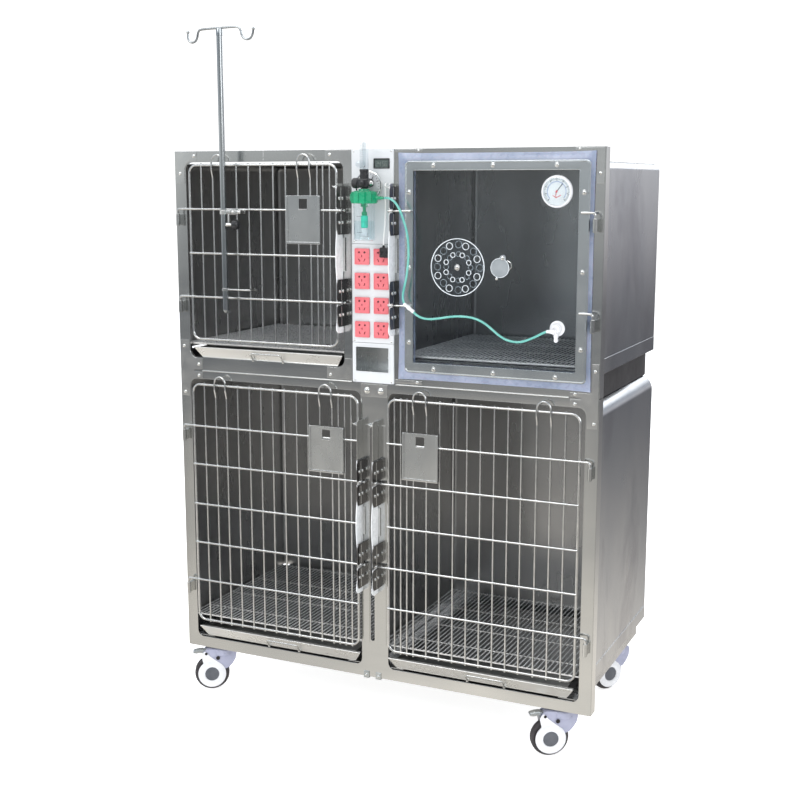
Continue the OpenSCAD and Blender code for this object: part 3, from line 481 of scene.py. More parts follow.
    def done(self, smooth=35, even=True):
        bmesh.ops.remove_doubles(self.bm, verts=self.bm.verts, dist=0.0005)
        mesh = bpy.data.meshes.new(self.name)
        self.bm.to_mesh(mesh)
        self.bm.free()
        for key in self.mats:
            mesh.materials.append(M[key])
        mesh.transform(TO_ROW @ self.place)
        mesh.update()
        return finish_piece(add(self.name, mesh), self.body, self.nodes, smooth, even)


def finish_piece(o, body, nodes, smooth, even=True):
    for f in o.data.polygons:
        f.use_smooth = True
    o.data.set_sharp_from_angle(angle=math.radians(smooth))
    if nodes:
        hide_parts(*nodes)
    if body:
        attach(o, body)
    if even:
        mod = o.modifiers.new("even shading", "WEIGHTED_NORMAL")
        mod.keep_sharp = True
        mod.weight = 50
    return o


def keep(name, key, bevel=0.8):
    """A CAD node that stays, with a finer material and softened edges."""
    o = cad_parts[name]
    for s in o.material_slots:
        s.material = M[key]
    mod = o.modifiers.new("soft edges", "BEVEL")
    mod.width = bevel * MM
    mod.segments = 2
    mod.limit_method = "ANGLE"
    mod.angle_limit = math.radians(40)
    mod.harden_normals = True


# ---------------------------------------------------------------- cords
LEAD_R, HOSE_R = 1.8, 3
LEAD = [(0.039, -0.241, 1.468), (0.039, -0.245, 1.468), (0.039, -0.249, 1.465), (0.04, -0.251, 1.458),
    (0.04, -0.251, 1.44), (0.04, -0.251, 1.41), (0.039, -0.251, 1.38), (0.038, -0.252, 1.355),
    (0.037, -0.254, 1.337), (0.037, -0.256, 1.322), (0.037, -0.256, 1.3125)]
HOSE = [(0.052, -0.283, 1.432), (0.056, -0.283, 1.432), (0.062, -0.287, 1.432), (0.07, -0.29, 1.431),
    (0.079, -0.292, 1.427), (0.087, -0.293, 1.421), (0.096, -0.294, 1.41), (0.104, -0.294, 1.395),
    (0.111, -0.293, 1.375), (0.117, -0.29, 1.352), (0.12, -0.287, 1.325), (0.12, -0.284, 1.295),
    (0.117, -0.281, 1.265), (0.112, -0.279, 1.235), (0.106, -0.278, 1.21), (0.102, -0.278, 1.19),
    (0.103, -0.279, 1.175), (0.109, -0.28, 1.164)]
TAIL = [(0.129, -0.279, 1.149), (0.14, -0.277, 1.139), (0.155, -0.275, 1.132), (0.175, -0.273, 1.13),
    (0.2, -0.271, 1.133), (0.23, -0.269, 1.138), (0.26, -0.268, 1.14), (0.29, -0.267, 1.137),
    (0.315, -0.267, 1.128), (0.335, -0.267, 1.115), (0.355, -0.268, 1.1), (0.375, -0.269, 1.089),
    (0.395, -0.27, 1.084), (0.415, -0.271, 1.084), (0.435, -0.272, 1.09), (0.455, -0.273, 1.099),
    (0.472, -0.274, 1.108), (0.485, -0.275, 1.114)]


def cord_piece(name, body, route, r, key, slot, replaced):
    """A cord along its route, whose points are in the row frame."""
    path = smooth_line(route, 2.2 * MM)
    p = Piece(name, body, slot, replaced).use(key)
    p.tube([FROM_ROW @ q for q in path], r, 14)
    return p.done(60, False), path


hose_a, hose_path = cord_piece("oxygen_hose_first", None, HOSE, HOSE_R, "hose", "hose_teal", "oxygen_hose")
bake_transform(hose_a)
hose_b, tail_path = cord_piece("oxygen_hose_second", "chamber_door", TAIL, HOSE_R, "hose", "hose_teal",
    "oxygen_hose")
lead, lead_path = cord_piece("sensor_lead_wire", "cabinet", LEAD, LEAD_R, "lead", "lead_white",
    "sensor_lead")

a, b = FROM_ROW @ Vector(HOSE[-1]), FROM_ROW @ Vector(TAIL[0])
p = Piece("hose_coupling", "chamber_door", "gauge_white", "hose_connector").use("plastic")
half = [(-0.18, 4.1), (-0.1, 4.7), (0.08, 4.9), (0.1, 4.3), (0.34, 4.3), (0.36, 5.5)]
steps = half + [(round(1 - t, 2), r) for t, r in half[::-1]]
p.tube([a + (b - a) * t for t, r in steps], [r for t, r in steps], 18)
coupling = p.done()

# The plug of the lead, in the top right socket
p = Piece("mains_plug", "cabinet", "black_plastic", "plug_adapter").use("black")
p.box((635.5, -21.5, 1150), (659, -8.2, 1176), 3, 3)
p.box((639, -23.2, 1155), (655.5, -21, 1171), 1.6, 2)
p.lathe([(4.6, 0), (4.6, 1.2), (3.2, 2.2), (3.9, 3), (3.1, 3.8), (3.6, 4.6), (2.9, 5.4), (2.6, 7)],
    (647, -18, 1175), "Z", 20)
for z in (1158, 1163, 1168):
    p.box((640.5, -23.9, z - 0.8), (654, -23, z + 0.8), 0.3, 1)
plug = p.done()


# ---------------------------------------------------------------- cabinet
WIDTH, SHELL_BACK = 1220, 555
ROD_Y, CHAMBER_ROD_Y = -14.5, -25.5
UPPER_RODS, LOW_HINGES, LOW_CATCHES = (1269, 1029), (663, 210), (552, 322)
OPEN_UL, CHAMBER = (34, 856, 523, 1396), (715, 872, 1168, 1380)
OPEN_LL, OPEN_LR = (32, 30, 571, 796), (649, 30, 1188, 796)


def shell(name, replaced, x0, x1, z0, z1, r):
    """A sheet shell open to the front and below; its top edges have radius r, its rear ones are tighter."""
    front, rear_r = 2, 13
    x0, x1 = x0 + 0.6, x1 - 0.6
    steps = [(front, 0), (SHELL_BACK - rear_r - 4, 0)]
    steps += [(SHELL_BACK - rear_r + rear_r * s, rear_r * (1 - c)) for c, s in arc(0, 0, 1, 0, 90, 5)]
    bm = bmesh.new()
    rings = []
    for y, inset in steps:
        section = ([(x0 + inset, z0)] + arc(x0 + r, z1 - r, r - inset, 180, 90, 8)
            + arc(x1 - r, z1 - r, r - inset, 90, 0, 8) + [(x1 - inset, z0)])
        rings.append([bm.verts.new((x, y, z)) for x, z in section])
    for a, b in zip(rings, rings[1:]):
        for k in range(len(a) - 1):
            bm.faces.new((a[k], a[k + 1], b[k + 1], b[k]))
    bm.faces.new(rings[-1])
    bmesh.ops.recalc_face_normals(bm, faces=bm.faces)
    if bm.faces[0].normal.x > 0:
        bmesh.ops.reverse_faces(bm, faces=bm.faces)
    mesh = bpy.data.meshes.new(name)
    bm.to_mesh(mesh)
    bm.free()
    mesh.transform(TO_ROW)
    for k in ("side", "inside"):
        mesh.materials.append(M[k])
    o = add(name, mesh)
    mod = o.modifiers.new("sheet", "SOLIDIFY")
    mod.thickness = 1.5 * MM
    mod.offset = -1
    mod.material_offset = 1
    solid = mesh_from(o)
    o.modifiers.clear()
    o.data = solid
    finish_piece(o, "cabinet", [replaced], 28)


shell("cage_shell_upper_left", "shell_upper_left", 0, 548.9, 878, 1391, 20)
shell("chamber_shell_upper_right", "shell_upper_right", 668.1, WIDTH, 878, 1391, 20)
shell("cage_shell_lower_left", "shell_lower_left", 0, 609.9, 90, 804, 40)
shell("cage_shell_lower_right", "shell_lower_right", 610.1, WIDTH, 90, 804, 40)

# The walls' lower hems, folded double
p = Piece("shell_hems", "cabinet", "cabinet_steel").use("side")
for z0, z1 in ((878, 915), (90, 126)):
    for x in (0.1, 1219.9):
        p.box((x - 0.7, 35, z0), (x + 0.7, 541, z1), 0.6)
    p.box((14, 554.6, z0), (1206, 556, z1), 0.6)
p.done(30)

keep("panel_housing", "side")
keep("plinth_upper", "plinth")
keep("plinth_lower", "base")
keep("base_rails", "base")
keep("panel_pocket", "card", 0.3)


def front_frame(level, z0, z1, holes, openings, top_or_foot, side, hinges):
    """A front sheet with its returns folded back, lipped openings and the sleeves of its hinges."""
    p = Piece("frame_" + level, "cabinet", "frame_steel", "front_frame_" + level).use("frame")
    p.plate(rrect(0, z0, WIDTH, z1), holes, 0, FRAME_SHEET, 0.6)
    p.box(*top_or_foot, 0.5)
    for x in (0, WIDTH):
        p.box((x - 0.9, 0.4, side[0]), (x + 0.9, 34, side[1]), 0.6)
    for rect, r in openings:
        p.sweep_rect(rect, r, [(0.4, -0.1), (0.4, 7), (-0.9, 7), (-0.9, -0.1)])
    for x, y, rods in hinges:
        for z in rods:
            p.lathe([(3.1, 0), (3.1, 33), (4.6, 33), (5.5, 32), (5.5, 1), (4.6, 0)],
                (x, y, z - 46), "Z", 28)
            p.box((x - 4, y + 4.2, z - 44), (x + 4, 0.2, z - 15), 0.8)
    return p


front_frame("upper", 819.6, 1425, [rrect(*OPEN_UL, 20), rrect(557, 849.5, 660, 1396, 2),
    rrect(*CHAMBER, 12)], ((OPEN_UL, 20), (CHAMBER, 12)), ((0.5, 0.6, 1423.4), (1219.5, 22, 1425)),
    (820, 1424.5), ((15, ROD_Y, UPPER_RODS), (1205, CHAMBER_ROD_Y, UPPER_RODS))).done(30)

p = front_frame("lower", 0, 818.4, [rrect(*OPEN_LL, 20), rrect(*OPEN_LR, 20), rrect(597, 105, 609, 700, 5)],
    ((OPEN_LL, 20), (OPEN_LR, 20)), ((0.5, 0.6, 0.2), (1219.5, 34, 1.8)), (1, 818),
    ((15, ROD_Y, LOW_HINGES), (1205, ROD_Y, LOW_HINGES)))
# The column is folded: two raised flanks either side of its slot
for x0, x1 in ((576, 594), (612, 644)):
    p.box((x0, -0.9, 98), (x1, 0.3, 707), 0.8)
for x in (576, 612):
    p.use("zinc").box((x, -2.6, -4), (x + 16, -0.4, 15), 0.8)
    p.box((x, -2.6, -4), (x + 16, 14, -2), 0.6)
# Rolled bead along the joint of the two modules
p.use("frame")
for x0, x1 in ((74, 545), (674, 1144)):
    p.tube([(x0, -0.4, 819), (x0 + 2, -1.6, 819), (x1 - 2, -1.6, 819), (x1, -0.4, 819)], 2.1)
p.done(30)

# ---------------------------------------------------------------- stiffener plates and fasteners
p = Piece("stiffener_plates", "cabinet", "frame_steel", "corner_plates").use("gusset")
for outline in (
        # Top corners: an L with a concave inner corner that follows the opening
        ([(2, 1338), (32, 1338), (32, 1374)] + arc(56, 1374, 24, 180, 90)
         + [(72, 1398), (72, 1423), (2, 1423)]),
        ([(470, 1423), (470, 1398), (501, 1398)] + arc(501, 1374, 24, 90, 0)
         + [(525, 1338), (547, 1338), (547, 1423)]),
        # T plates across the joint
        ([(2, 745), (30, 745), (30, 776)] + arc(52, 774, 22, 180, 90)
         + [(74, 796), (74, 814), (46, 816), (46, 822), (74, 824), (74, 854)] + arc(56, 878, 24, 270, 180)
         + [(32, 905), (2, 905)]),
        ([(1146, 796), (1168, 796)] + arc(1168, 774, 22, 90, 0)
         + [(1190, 745), (1218, 745), (1218, 905), (1201, 905), (1201, 832), (1146, 832), (1146, 824),
            (1174, 822), (1174, 816), (1146, 814)]),
        [(470, 824), (547, 824), (547, 880), (525, 880)] + arc(501, 878, 24, 0, -90) + [(470, 854)],
        rrect(672, 824, 748, 833),
        rrect(672, 1416.5, 748, 1423),
        [(1146, 1416.5), (1199, 1416.5), (1199, 1338), (1218, 1338), (1218, 1423), (1146, 1423)],
        rrect(571, 782, 649, 816)):
    p.plate(outline, [], -1.4, -0.1)
p.done(30)

p = Piece("frame_fasteners", "cabinet", "rivet_steel", "frame_rivets").use("rivet")
for x, z in ((63, 1412), (17, 1365), (484, 1412), (14, 887), (61, 837), (61, 805), (14, 756), (481, 834),
        (1159, 829), (1159, 804), (1208, 887), (1208, 757), (735, 829)):
    p.dome(x, -1.4, z, 4.6)
for x in (737, 1156):
    p.dome(x, -1.4, 1419.5, 3)
p.dome(1208, -1.4, 1362, 4.4)
for x in (590, 630):
    p.lathe([(8.6, 0), (8.6, -1.2), (7.4, -1.6), (6.9, -4.2), (5.2, -5.8), (0, -6.6)],
        (x, -1.4, 799), "Y", 24)
for x in (584, 621):
    p.dome(x, -2.6, 5, 3.6)
p.done()

# A short fold in the top strip
p = Piece("top_strip_fold", "cabinet", "frame_steel").use("gusset")
p.box((281, -0.5, 1398), (283.4, 0.3, 1424), 0.3, 1)
p.done()

# ---------------------------------------------------------------- catch plates and latch bars
p = Piece("latch_catches", "cabinet", "catch_steel", "catch_plates")
for x, y_rod, zs in ((523.5, ROD_Y, UPPER_RODS), (674.5, CHAMBER_ROD_Y, UPPER_RODS),
        (577.5, ROD_Y, LOW_CATCHES), (623.5, ROD_Y, LOW_CATCHES)):
    inner = y_rod + 5
    for z in zs:
        outline = [(0, -62), (-34, -62), (-42, -48), (-42, -9), (-39, -5), (inner, -5), (inner, 5),
            (-39, 5), (-42, 9), (-42, 54), (-36, 62), (0, 62)]
        # The plates' dark steel is a painted reflection in their polished faces
        p.use("catch").plate([(y, z + dz) for y, dz in outline], [], x, x + 2, 0.5, "YZ")
        p.box((x - 7, -1.6, z - 61), (x + 1.5, -0.1, z + 61), 0.5)
        p.use("rivet")
        for low, high in ((-59, -8), (8, 59)):
            p.box((x + 1.6, -22, z + low), (x + 3.4, -20, z + high), 0.6)
        to_right = (Matrix.Translation((x + 2, 0, 0)) @ Matrix.Scale(-1, 4, (1, 0, 0))
            @ Matrix.Translation((-x - 2, 0, 0)))
        for s, y in ((-31, -12.5), (-31, -30), (31, -12.5), (31, -30)):
            p.dome(x + 2, y, z + s, 4.6, 3.4, "X", matrix=to_right)
p.done(30)


def latch(side, tag, x, z0, z1, rods, y_rod):
    """A bar whose white is a painted reflection of its polished steel; its front edge swells between the
    rods, and a mouth and a slot take each rod.
    """
    zr1, zr0 = rods
    mid, top = (zr0 + zr1) / 2, min(z1, zr1 + 62)
    p = Piece("latch_bar_" + side, "latch_" + tag, "latch_white", "latch_bar_" + tag).use("latch")

    def mouth(z):
        return [(y_rod + dy, z + dz) for dy, dz in ((5, -5), (5, 19.5), (3.5, 21), (-3.5, 21),
            (-5, 19.5), (-5, 5))]

    foot = [(-30, z0), (-40, z0 + 7), (-42, z0 + 18), (-38, z0 + 34), (-35, zr0 - 26), (-36, zr0 - 5)]
    belly = [(-36, zr0 + 5), (-34, zr0 + 34), (-38, zr0 + 62), (-42, mid - 22), (-42, mid + 22),
        (-38, zr1 - 60), (-33, zr1 - 34), (-36, zr1 - 5)]
    head = [(-36, zr1 + 5), (-34, zr1 + 26), (-37, top - 18), (-36, top)]
    outline = ([(-2.5, z0)] + smooth_line(foot, 3) + mouth(zr0) + smooth_line(belly, 3) + mouth(zr1)
        + smooth_line(head, 3) + [(-2.5, top)])
    p.plate(outline, [], x, x + 2, 0.5, "YZ")
    if top < z1:
        stem = [(-2.5, top - 1), (-34, top - 1), (-34, z1 - 3), (-31, z1), (-2.5, z1)]
        p.use("gusset").plate(stem, [], x, x + 2, 0.5, "YZ")
    # A folded flange along the back edge, clear of the catch plates over the bar's travel
    p.box((x, -3.4, zr0 + 82), (x + 8.5, -1.8, zr1 - 70), 0.5)
    tab_z = z1 - 12
    p.use("rivet" if top < z1 else "latch")
    p.folds(fillet([(x + 0.6, -23, tab_z - 8), (x - 0.4, -23, tab_z), (x - 9, -23, tab_z + 2.4),
        (x - 14, -23, tab_z + 6)], 3, 4), 0, 0.2, 9.5, 0.9, 0.35)
    p.done(35)


latch("upper_left", "ul", 520, 950, 1338, UPPER_RODS, ROD_Y)
latch("upper_right", "ur", 671, 950, 1338, UPPER_RODS, CHAMBER_ROD_Y)
latch("lower_left", "ll", 574, 245, 720, LOW_CATCHES, ROD_Y)
latch("lower_right", "lr", 620, 245, 720, LOW_CATCHES, ROD_Y)


# ---------------------------------------------------------------- wire doors
def wire_door(side, tag, rim, xs, rods, hinge_rods, latch_rods, hinge_x, reach, loops):
    """A rim, upright wires and cross rods; hinge_rods bend down at hinge_x, latch_rods go on to reach."""
    x0, z0, x1, z1 = rim
    y, y_loop = -10, -16.2
    p = Piece("wire_door_" + side, "door_" + tag, "wire_steel", "wire_door_" + tag).use("wire")
    p.tube([(x, y, z) for x, z in rrect(x0, z0, x1, z1, 22, 8)], 3.6, 14, closed=True)
    single = [x for x in xs if not any(x in pair for pair in loops)]
    for x in single:
        p.tube([(x, y, z0 - 6), (x, y, z0 - 4.6), (x, y, z1 + 4.6), (x, y, z1 + 6)],
            [1.6, 2.5, 2.5, 1.6], 10)
    for xa, xb in loops:
        r, cx = (xb - xa) / 2, (xa + xb) / 2
        up, down = [fillet([(x, y, z0 - 6), (x, y, z1 - 34), (x, y_loop, z1 - 12),
            (x, y_loop, z1 + 6)][::turn], 10, 4) for x, turn in ((xa, 1), (xb, -1))]
        over = [Vector((cx - r * c, y_loop, z1 + 6 + (r + 2) * s)) for c, s in arc(0, 0, 1, 15, 165, 10)]
        p.tube(up + over + down, 2.5, 10)
    near, far = (x0 - 2, x1 + 2) if hinge_x < x0 else (x1 + 2, x0 - 2)
    for z in rods:
        end = reach if z in latch_rods else far
        if z in hinge_rods:
            line = fillet([(hinge_x, ROD_Y, z - 46), (hinge_x, ROD_Y, z), (end, ROD_Y, z)], 7, 6)
            p.tube(line, [3] * 2 + [3.2] * (len(line) - 2))
        else:
            p.tube([(near, ROD_Y, z), (end, ROD_Y, z)], 3.2)
        for x in single + [x0, x1]:
            p.lathe(mirrored([(3.1, 1), (0, 1.6)]), (x, -12.6, z), "Y", 8)
        if z in latch_rods:
            p.lathe(mirrored([(3.9, 0.6), (2.4, 2.6), (0, 3.2)]), (end, ROD_Y, z), "X", 14)
    p.done(50)


UL_X = (92, 129, 167, 204, 242, 279, 318, 356, 394, 431, 451, 468, 488)
LL_X = (84, 121, 156, 193, 231, 268, 305, 342, 380, 415, 452, 489, 508, 527, 546)
LR_X = (674, 692, 710, 729, 766, 803, 841, 879, 916, 953, 990, 1026, 1066, 1103, 1140)
LOW_RODS = (663, 552, 436, 322, 210)
wire_door("upper_left", "ul", (54, 911, 508, 1387), UL_X, (1269, 1149, 1029), UPPER_RODS, UPPER_RODS, 15,
    532, ((129, 167), (394, 431)))
wire_door("lower_left", "ll", (47, 89, 566, 781), LL_X, LOW_RODS, LOW_HINGES, LOW_CATCHES, 15, 586,
    ((121, 156), (452, 489)))
wire_door("lower_right", "lr", (656, 89, 1177, 780), LR_X, LOW_RODS, LOW_HINGES, LOW_CATCHES, 1205, 614,
    ((729, 766), (1066, 1103)))

HOLDER_Y = -18.3
for side, tag, x, z, w in (("upper_left", "ul", 362, 1180, 102), ("lower_left", "ll", 422, 568, 106),
        ("lower_right", "lr", 700, 571, 102)):
    p = Piece("card_holder_" + side, "door_" + tag, "wire_steel", "card_holder_" + tag).use("card")
    hx, top, back = x + w / 2, z + 127, HOLDER_Y - 0.9
    p.plate(rrect(x, z, x + w, top, 1), [rrect(hx - 12, top - 35, hx + 12, top - 9, 1.5)], HOLDER_Y - 1.2,
        HOLDER_Y, 0.3)
    for xa in (x, x + w - 6):
        p.box((xa, HOLDER_Y - 3, z + 6), (xa + 6, back, top - 2), 0.7)
    p.use("wire").box((x, HOLDER_Y - 3.1, z), (x + w, back, z + 6), 0.7)
    p.box((hx - 13, HOLDER_Y - 3.4, top - 37.2), (hx + 13, back, top - 35), 0.5)
    p.done(30)

# ---------------------------------------------------------------- drip pole
PX, PY = 184, -46


def in_pole_plane(*pts):
    return [(x, PY, z) for x, z in pts]


p = Piece("drip_pole", "iv_pole", "wire_steel", "iv_pole").use("pole")
p.tube([(PX, PY, z) for z in (996, 1000, 1100, 1500, 1730, 1734)], [7.2, 8, 8, 8, 8, 7.4], 24)
bar = smooth_line(in_pole_plane((125, 1738), (154, 1739), (184, 1739.5), (214, 1740), (242, 1740)), 8)
hook_l = smooth_line(in_pole_plane((86, 1718), (90, 1709.5), (99, 1706), (109, 1709), (115, 1718),
    (117.5, 1729), (122, 1736.5)), 4)
hook_r = smooth_line(in_pole_plane((246, 1737), (250.5, 1728), (253, 1718), (260, 1709.5), (271, 1707),
    (281, 1711), (285.5, 1719)), 4)
p.tube(in_pole_plane((86, 1732), (86, 1722)) + hook_l + bar[1:-1] + hook_r
    + in_pole_plane((287, 1724), (288, 1732)), 3)
for x in (86, 288):
    p.lathe(mirrored([(4.6, 0), (3.2, 3.4), (0, 4.6)]), (x, PY, 1733), "Z", 16)
p.lathe([(6.6, -14), (8.8, -13), (8.8, 4), (6, 7.5), (0, 8)], (PX, PY, 1733), "Z", 24)
p.tube(fillet([(PX, PY, 1004), (PX, PY, 994), (PX, PY + 14, 993)], 6, 5), 5, 14)
p.lathe(mirrored([(5.4, 0), (4, 4), (0, 5.4)]), (PX, PY + 14, 993), "Y", 16)
p.done(40)

p = Piece("drip_clamp", "door_ul", "wire_steel", "iv_clamp").use("rivet")
p.lathe(mirrored([(10.6, 5), (9.4, 6), (8.3, 5)]), (PX, PY, 1262), "Z", 28, hollow=True)
p.box((PX + 8, PY - 4, 1257), (PX + 22, PY + 6, 1268), 1.6)
p.box((PX + 18, PY + 2, 1258), (PX + 52, HOLDER_Y, 1267), 1.6)
p.box((PX + 20, PY + 0.4, 1256), (PX + 38, PY + 5, 1269), 1.2)
for x, y in ((28, 0.6), (46, 2.2)):
    p.dome(PX + x, PY + y, 1262.5, 4, 2.6)
p.box((PX + 14, PY - 3, 1229), (PX + 20, PY + 3, 1256.5), 1.4)
p.lathe([(0, -2), (5.8, -1), (6.2, 3), (5, 5), (5, 16)], (PX + 10, PY, 1229), "X", 24)
p.use("black").lathe([(5, 0), (10, 1.5)] + [(13 - (k % 2) * 0.6, 4 + k * 1.6) for k in range(8)]
    + [(9.5, 19), (4.5, 20.5), (0, 20.6)], (PX + 27, PY, 1229), "X", 24)
p.use("wire").lathe(mirrored([(10.2, 3), (9.6, 3.6), (8.3, 3.2)]), (PX, PY, 1055), "Z", 28, hollow=True)
p.tube(fillet([(PX + 9.6, PY, 1055), (PX + 76, PY, 1055), (PX + 76, -13.2, 1055)], 8, 5), 2.6)
p.lathe([(0, -4.4), (3, -3.6), (4.2, 0), (3, 3), (0, 3.4)], (PX + 76, -15.4, 1055), "Y", 16)
p.done(40)


# ---------------------------------------------------------------- trays
def tray(side, tag, x0, x1, z, h0, h1):
    """A pan behind a leaning front with a rolled lip; its wire pull stands between h0 and h1."""
    inset, h, deep, lip = 20, 28, 520, z + 28.6
    # The pan under the grid takes a darker copy of the tray's steel: painted shade
    p = Piece("drawer_" + side, "tray_" + tag, "tray_steel", "tray_" + tag).use("pan")
    p.box((x0 + inset, 5, z), (x1 - inset, deep, z + 1.5), 0.4)
    p.box((x0 + inset, deep - 1.5, z), (x1 - inset, deep, z + h), 0.5)
    for x in (x0 + inset, x1 - inset - 1.5):
        p.box((x, 4, z), (x + 1.5, deep, z + h), 0.5)
    bm = bmesh.new()
    rows = ((4.2, z + 0.2, inset), (3, z + 5, inset - 4), (-1.5, z + 15, 9), (-5.6, z + 24, 2.5),
        (-7.6, lip, 0.4))
    ring = [[bm.verts.new((x, y, zz)) for x in (x0 + cut, x1 - cut)] for y, zz, cut in rows]
    for a, b in zip(ring, ring[1:]):
        bm.faces.new((a[0], a[1], b[1], b[0]))
    bmesh.ops.solidify(bm, geom=bm.faces[:], thickness=1.3)
    p.use("tray").take(bm, None, True)
    p.tube([(x, -7.4, lip) for x in (x0, x0 + 1, x1 - 1, x1)], [1, 1.9, 1.9, 1])
    p.box((x0 + 1, -6.5, z + 28.2), (x1 - 1, 3.8, z + 29.4), 0.4)
    p.use("wire")
    for x in (h0, h1):
        p.lathe(mirrored([(4, 0), (3.2, 2.6), (0, 3.4)]), (x, 1, z + 0.5), "Y", 16)
    p.tube(fillet([(h0, 1.5, z - 1.5), (h0, -14, z + 21), (h1, -14, z + 21), (h1, 1.5, z - 1.5)],
        6, 6), 2.5)
    p.done(35)


tray("upper_left", "ul", 52, 519, 857, 239, 334)
tray("lower_left", "ll", 46, 567, 37, 274, 372)
tray("lower_right", "lr", 653, 1174, 37, 882, 986)

# ---------------------------------------------------------------- floor grids
p = Piece("cage_floor_grids", "cabinet", "cabinet_steel", "floor_grids").use("grid")
for x0, x1, z in ((9, 540, 893.5), (677, 1211, 893.5), (9, 601, 93.5), (619, 1211, 93.5)):
    n = round((x1 - x0 - 6) / 12.8)
    xs = [x0 + 3 + (x1 - x0 - 6) * i / n for i in range(n + 1)]
    # The rods' near-white steel is partly painted light on their tops
    p.use("grid")
    for x in xs:
        p.tube([(x, 17.5, z + 1.6), (x, 529.5, z + 1.6)], 1.7, 6)
    # The cross bars' bright steel is partly painted light too
    p.use("grid_bar")
    for y in (18.5, 96, 225, 375, 528.5):
        p.tube([(x0, y, z - 1.4), (x1, y, z - 1.4)], 1.8, 8)
    # The front rail is doubled, and every rod's end is welded down on it
    p.tube([(x0, 15.2, z + 0.6), (x1, 15.2, z + 0.6)], 2, 8)
    for x in xs:
        p.box((x - 2.6, 12.8, z - 1), (x + 2.6, 19.5, z + 4), 1.2)
    # The ledges that carry the grid's ends close the view down past the trays; they take the pan's darker
    # steel, painted shade under the grid
    for a, b in ((x0 - 7, x0 + 16), (x1 - 16, x1 + 7)):
        p.use("pan").box((a, 16, z - 4.6), (b, 530, z - 3.6), 0.3)
p.done(60)

# The folded lip of the chamber's floor, seen under its grid
p = Piece("chamber_sill", "cabinet", "cabinet_steel").use("card")
p.plate([(8, 874), (10, 874), (10, 883), (40, 883), (40, 884.6), (9.4, 884.6), (8, 883.6)], [], 720,
    1163, 0.3, "YZ")
p.done(30)


# ---------------------------------------------------------------- service panel
PANEL_X = (549, 668)
DISPLAY, POCKET = (613, 1376, 657, 1400.5), (559, 850, 653, 914)
p = Piece("service_panel", "cabinet", "panel_white", "control_panel").use("white")
PANEL_PARTS = ((1184, 1425, [rrect(*DISPLAY, 1)]), (926.2, 1183.2, []), (820, 925.4, [rrect(*POCKET, 1.5)]))
for z0, z1, holes in PANEL_PARTS:
    p.plate(rrect(PANEL_X[0], z0, PANEL_X[1], z1, 1.5), holes, -3, -0.05, 0.7)
p.sweep_rect(POCKET, 1.5, [(3.4, -2.9), (3, -4), (0.6, -4), (0.2, -2.9)], 3)
for z0, z1, holes in PANEL_PARTS:
    for x in PANEL_X:
        p.box((x - 0.6, -2.9, z0 + 0.4), (x + 0.6, 3, z1 - 0.4), 0.5)
p.use("rivet")
for x in (555, 662):
    for z in (1419, 1190, 931, 825):
        p.dome(x, -3, z, 2.4, 1.3, n=14)
p.done(30)

# Each segment of a digit from one corner to another, in widths
SEGMENTS = {"a": (0, 2, 1, 2), "b": (1, 1, 1, 2), "c": (1, 0, 1, 1), "d": (0, 0, 1, 0), "e": (0, 0, 0, 1),
    "f": (0, 1, 0, 2), "g": (0, 1, 1, 1)}
DIGIT_W, STROKE = 5.2, 0.45
p = Piece("climate_display", "cabinet", "display_dark", "panel_display").use("black")
p.sweep_rect(DISPLAY, 1.2, [(0.6, -2.9), (0.6, -4.6), (-0.2, -5.2), (-2.2, -4.8), (-2.6, -3.6)], 3)
p.use("lcd").plate(rrect(613.4, 1376.4, 656.6, 1400.1, 1), [], -4, -0.4, 0.3)
p.use("lcd_digit")
for q, lit in ((619, "abged"), (619 + DIGIT_W + 2.4, "fgbc"), (637, "afgcd"),
        (637 + DIGIT_W + 2.4, "afgedc")):
    for s in lit:
        x0, z0, x1, z1 = SEGMENTS[s]
        p.box((q + x0 * DIGIT_W - STROKE, -4.25, 1382 + z0 * DIGIT_W - STROKE),
            (q + x1 * DIGIT_W + STROKE, -3.9, 1382 + z1 * DIGIT_W + STROKE), 0.1, 1)
p.done(30)

p = Piece("mains_sockets", "cabinet", "socket_red", "socket_modules")
for x in (558, 613):
    for i in range(4):
        z = 1172 - i * 63.3 - 42
        cx, cz = x + 21, z + 21
        slant = [[(cx + s * 7.5 + s * dx, cz - 9 + dz) for dx, dz in ((-2.6, -3.2), (-0.7, -4), (2.4, 3),
            (0.6, 3.8))] for s in (-1, 1)]
        holes = [circle(cx - 8, cz + 11, 2.7, 16), circle(cx + 8, cz + 11, 2.7, 16),
            rrect(cx - 1, cz - 1.2, cx + 1, cz + 4.2, 0.4, 2)] + slant
        p.use("red").plate(rrect(x, z, x + 42, z + 42, 2.2), holes, -8, -3, 0.8)
        p.sweep_rect((x + 2.6, z + 2.6, x + 39.4, z + 39.4), 1.6,
            [(0.5, -7.9), (0.3, -8.35), (-0.3, -8.35), (-0.5, -7.9)], 3)
        # A near-black plate inside the socket: painted shade seen through its holes
        p.use("dark").plate(rrect(x + 2, z + 2, x + 40, z + 40, 1), [], -4.4, -3.1, 0.1)
p.done(30)

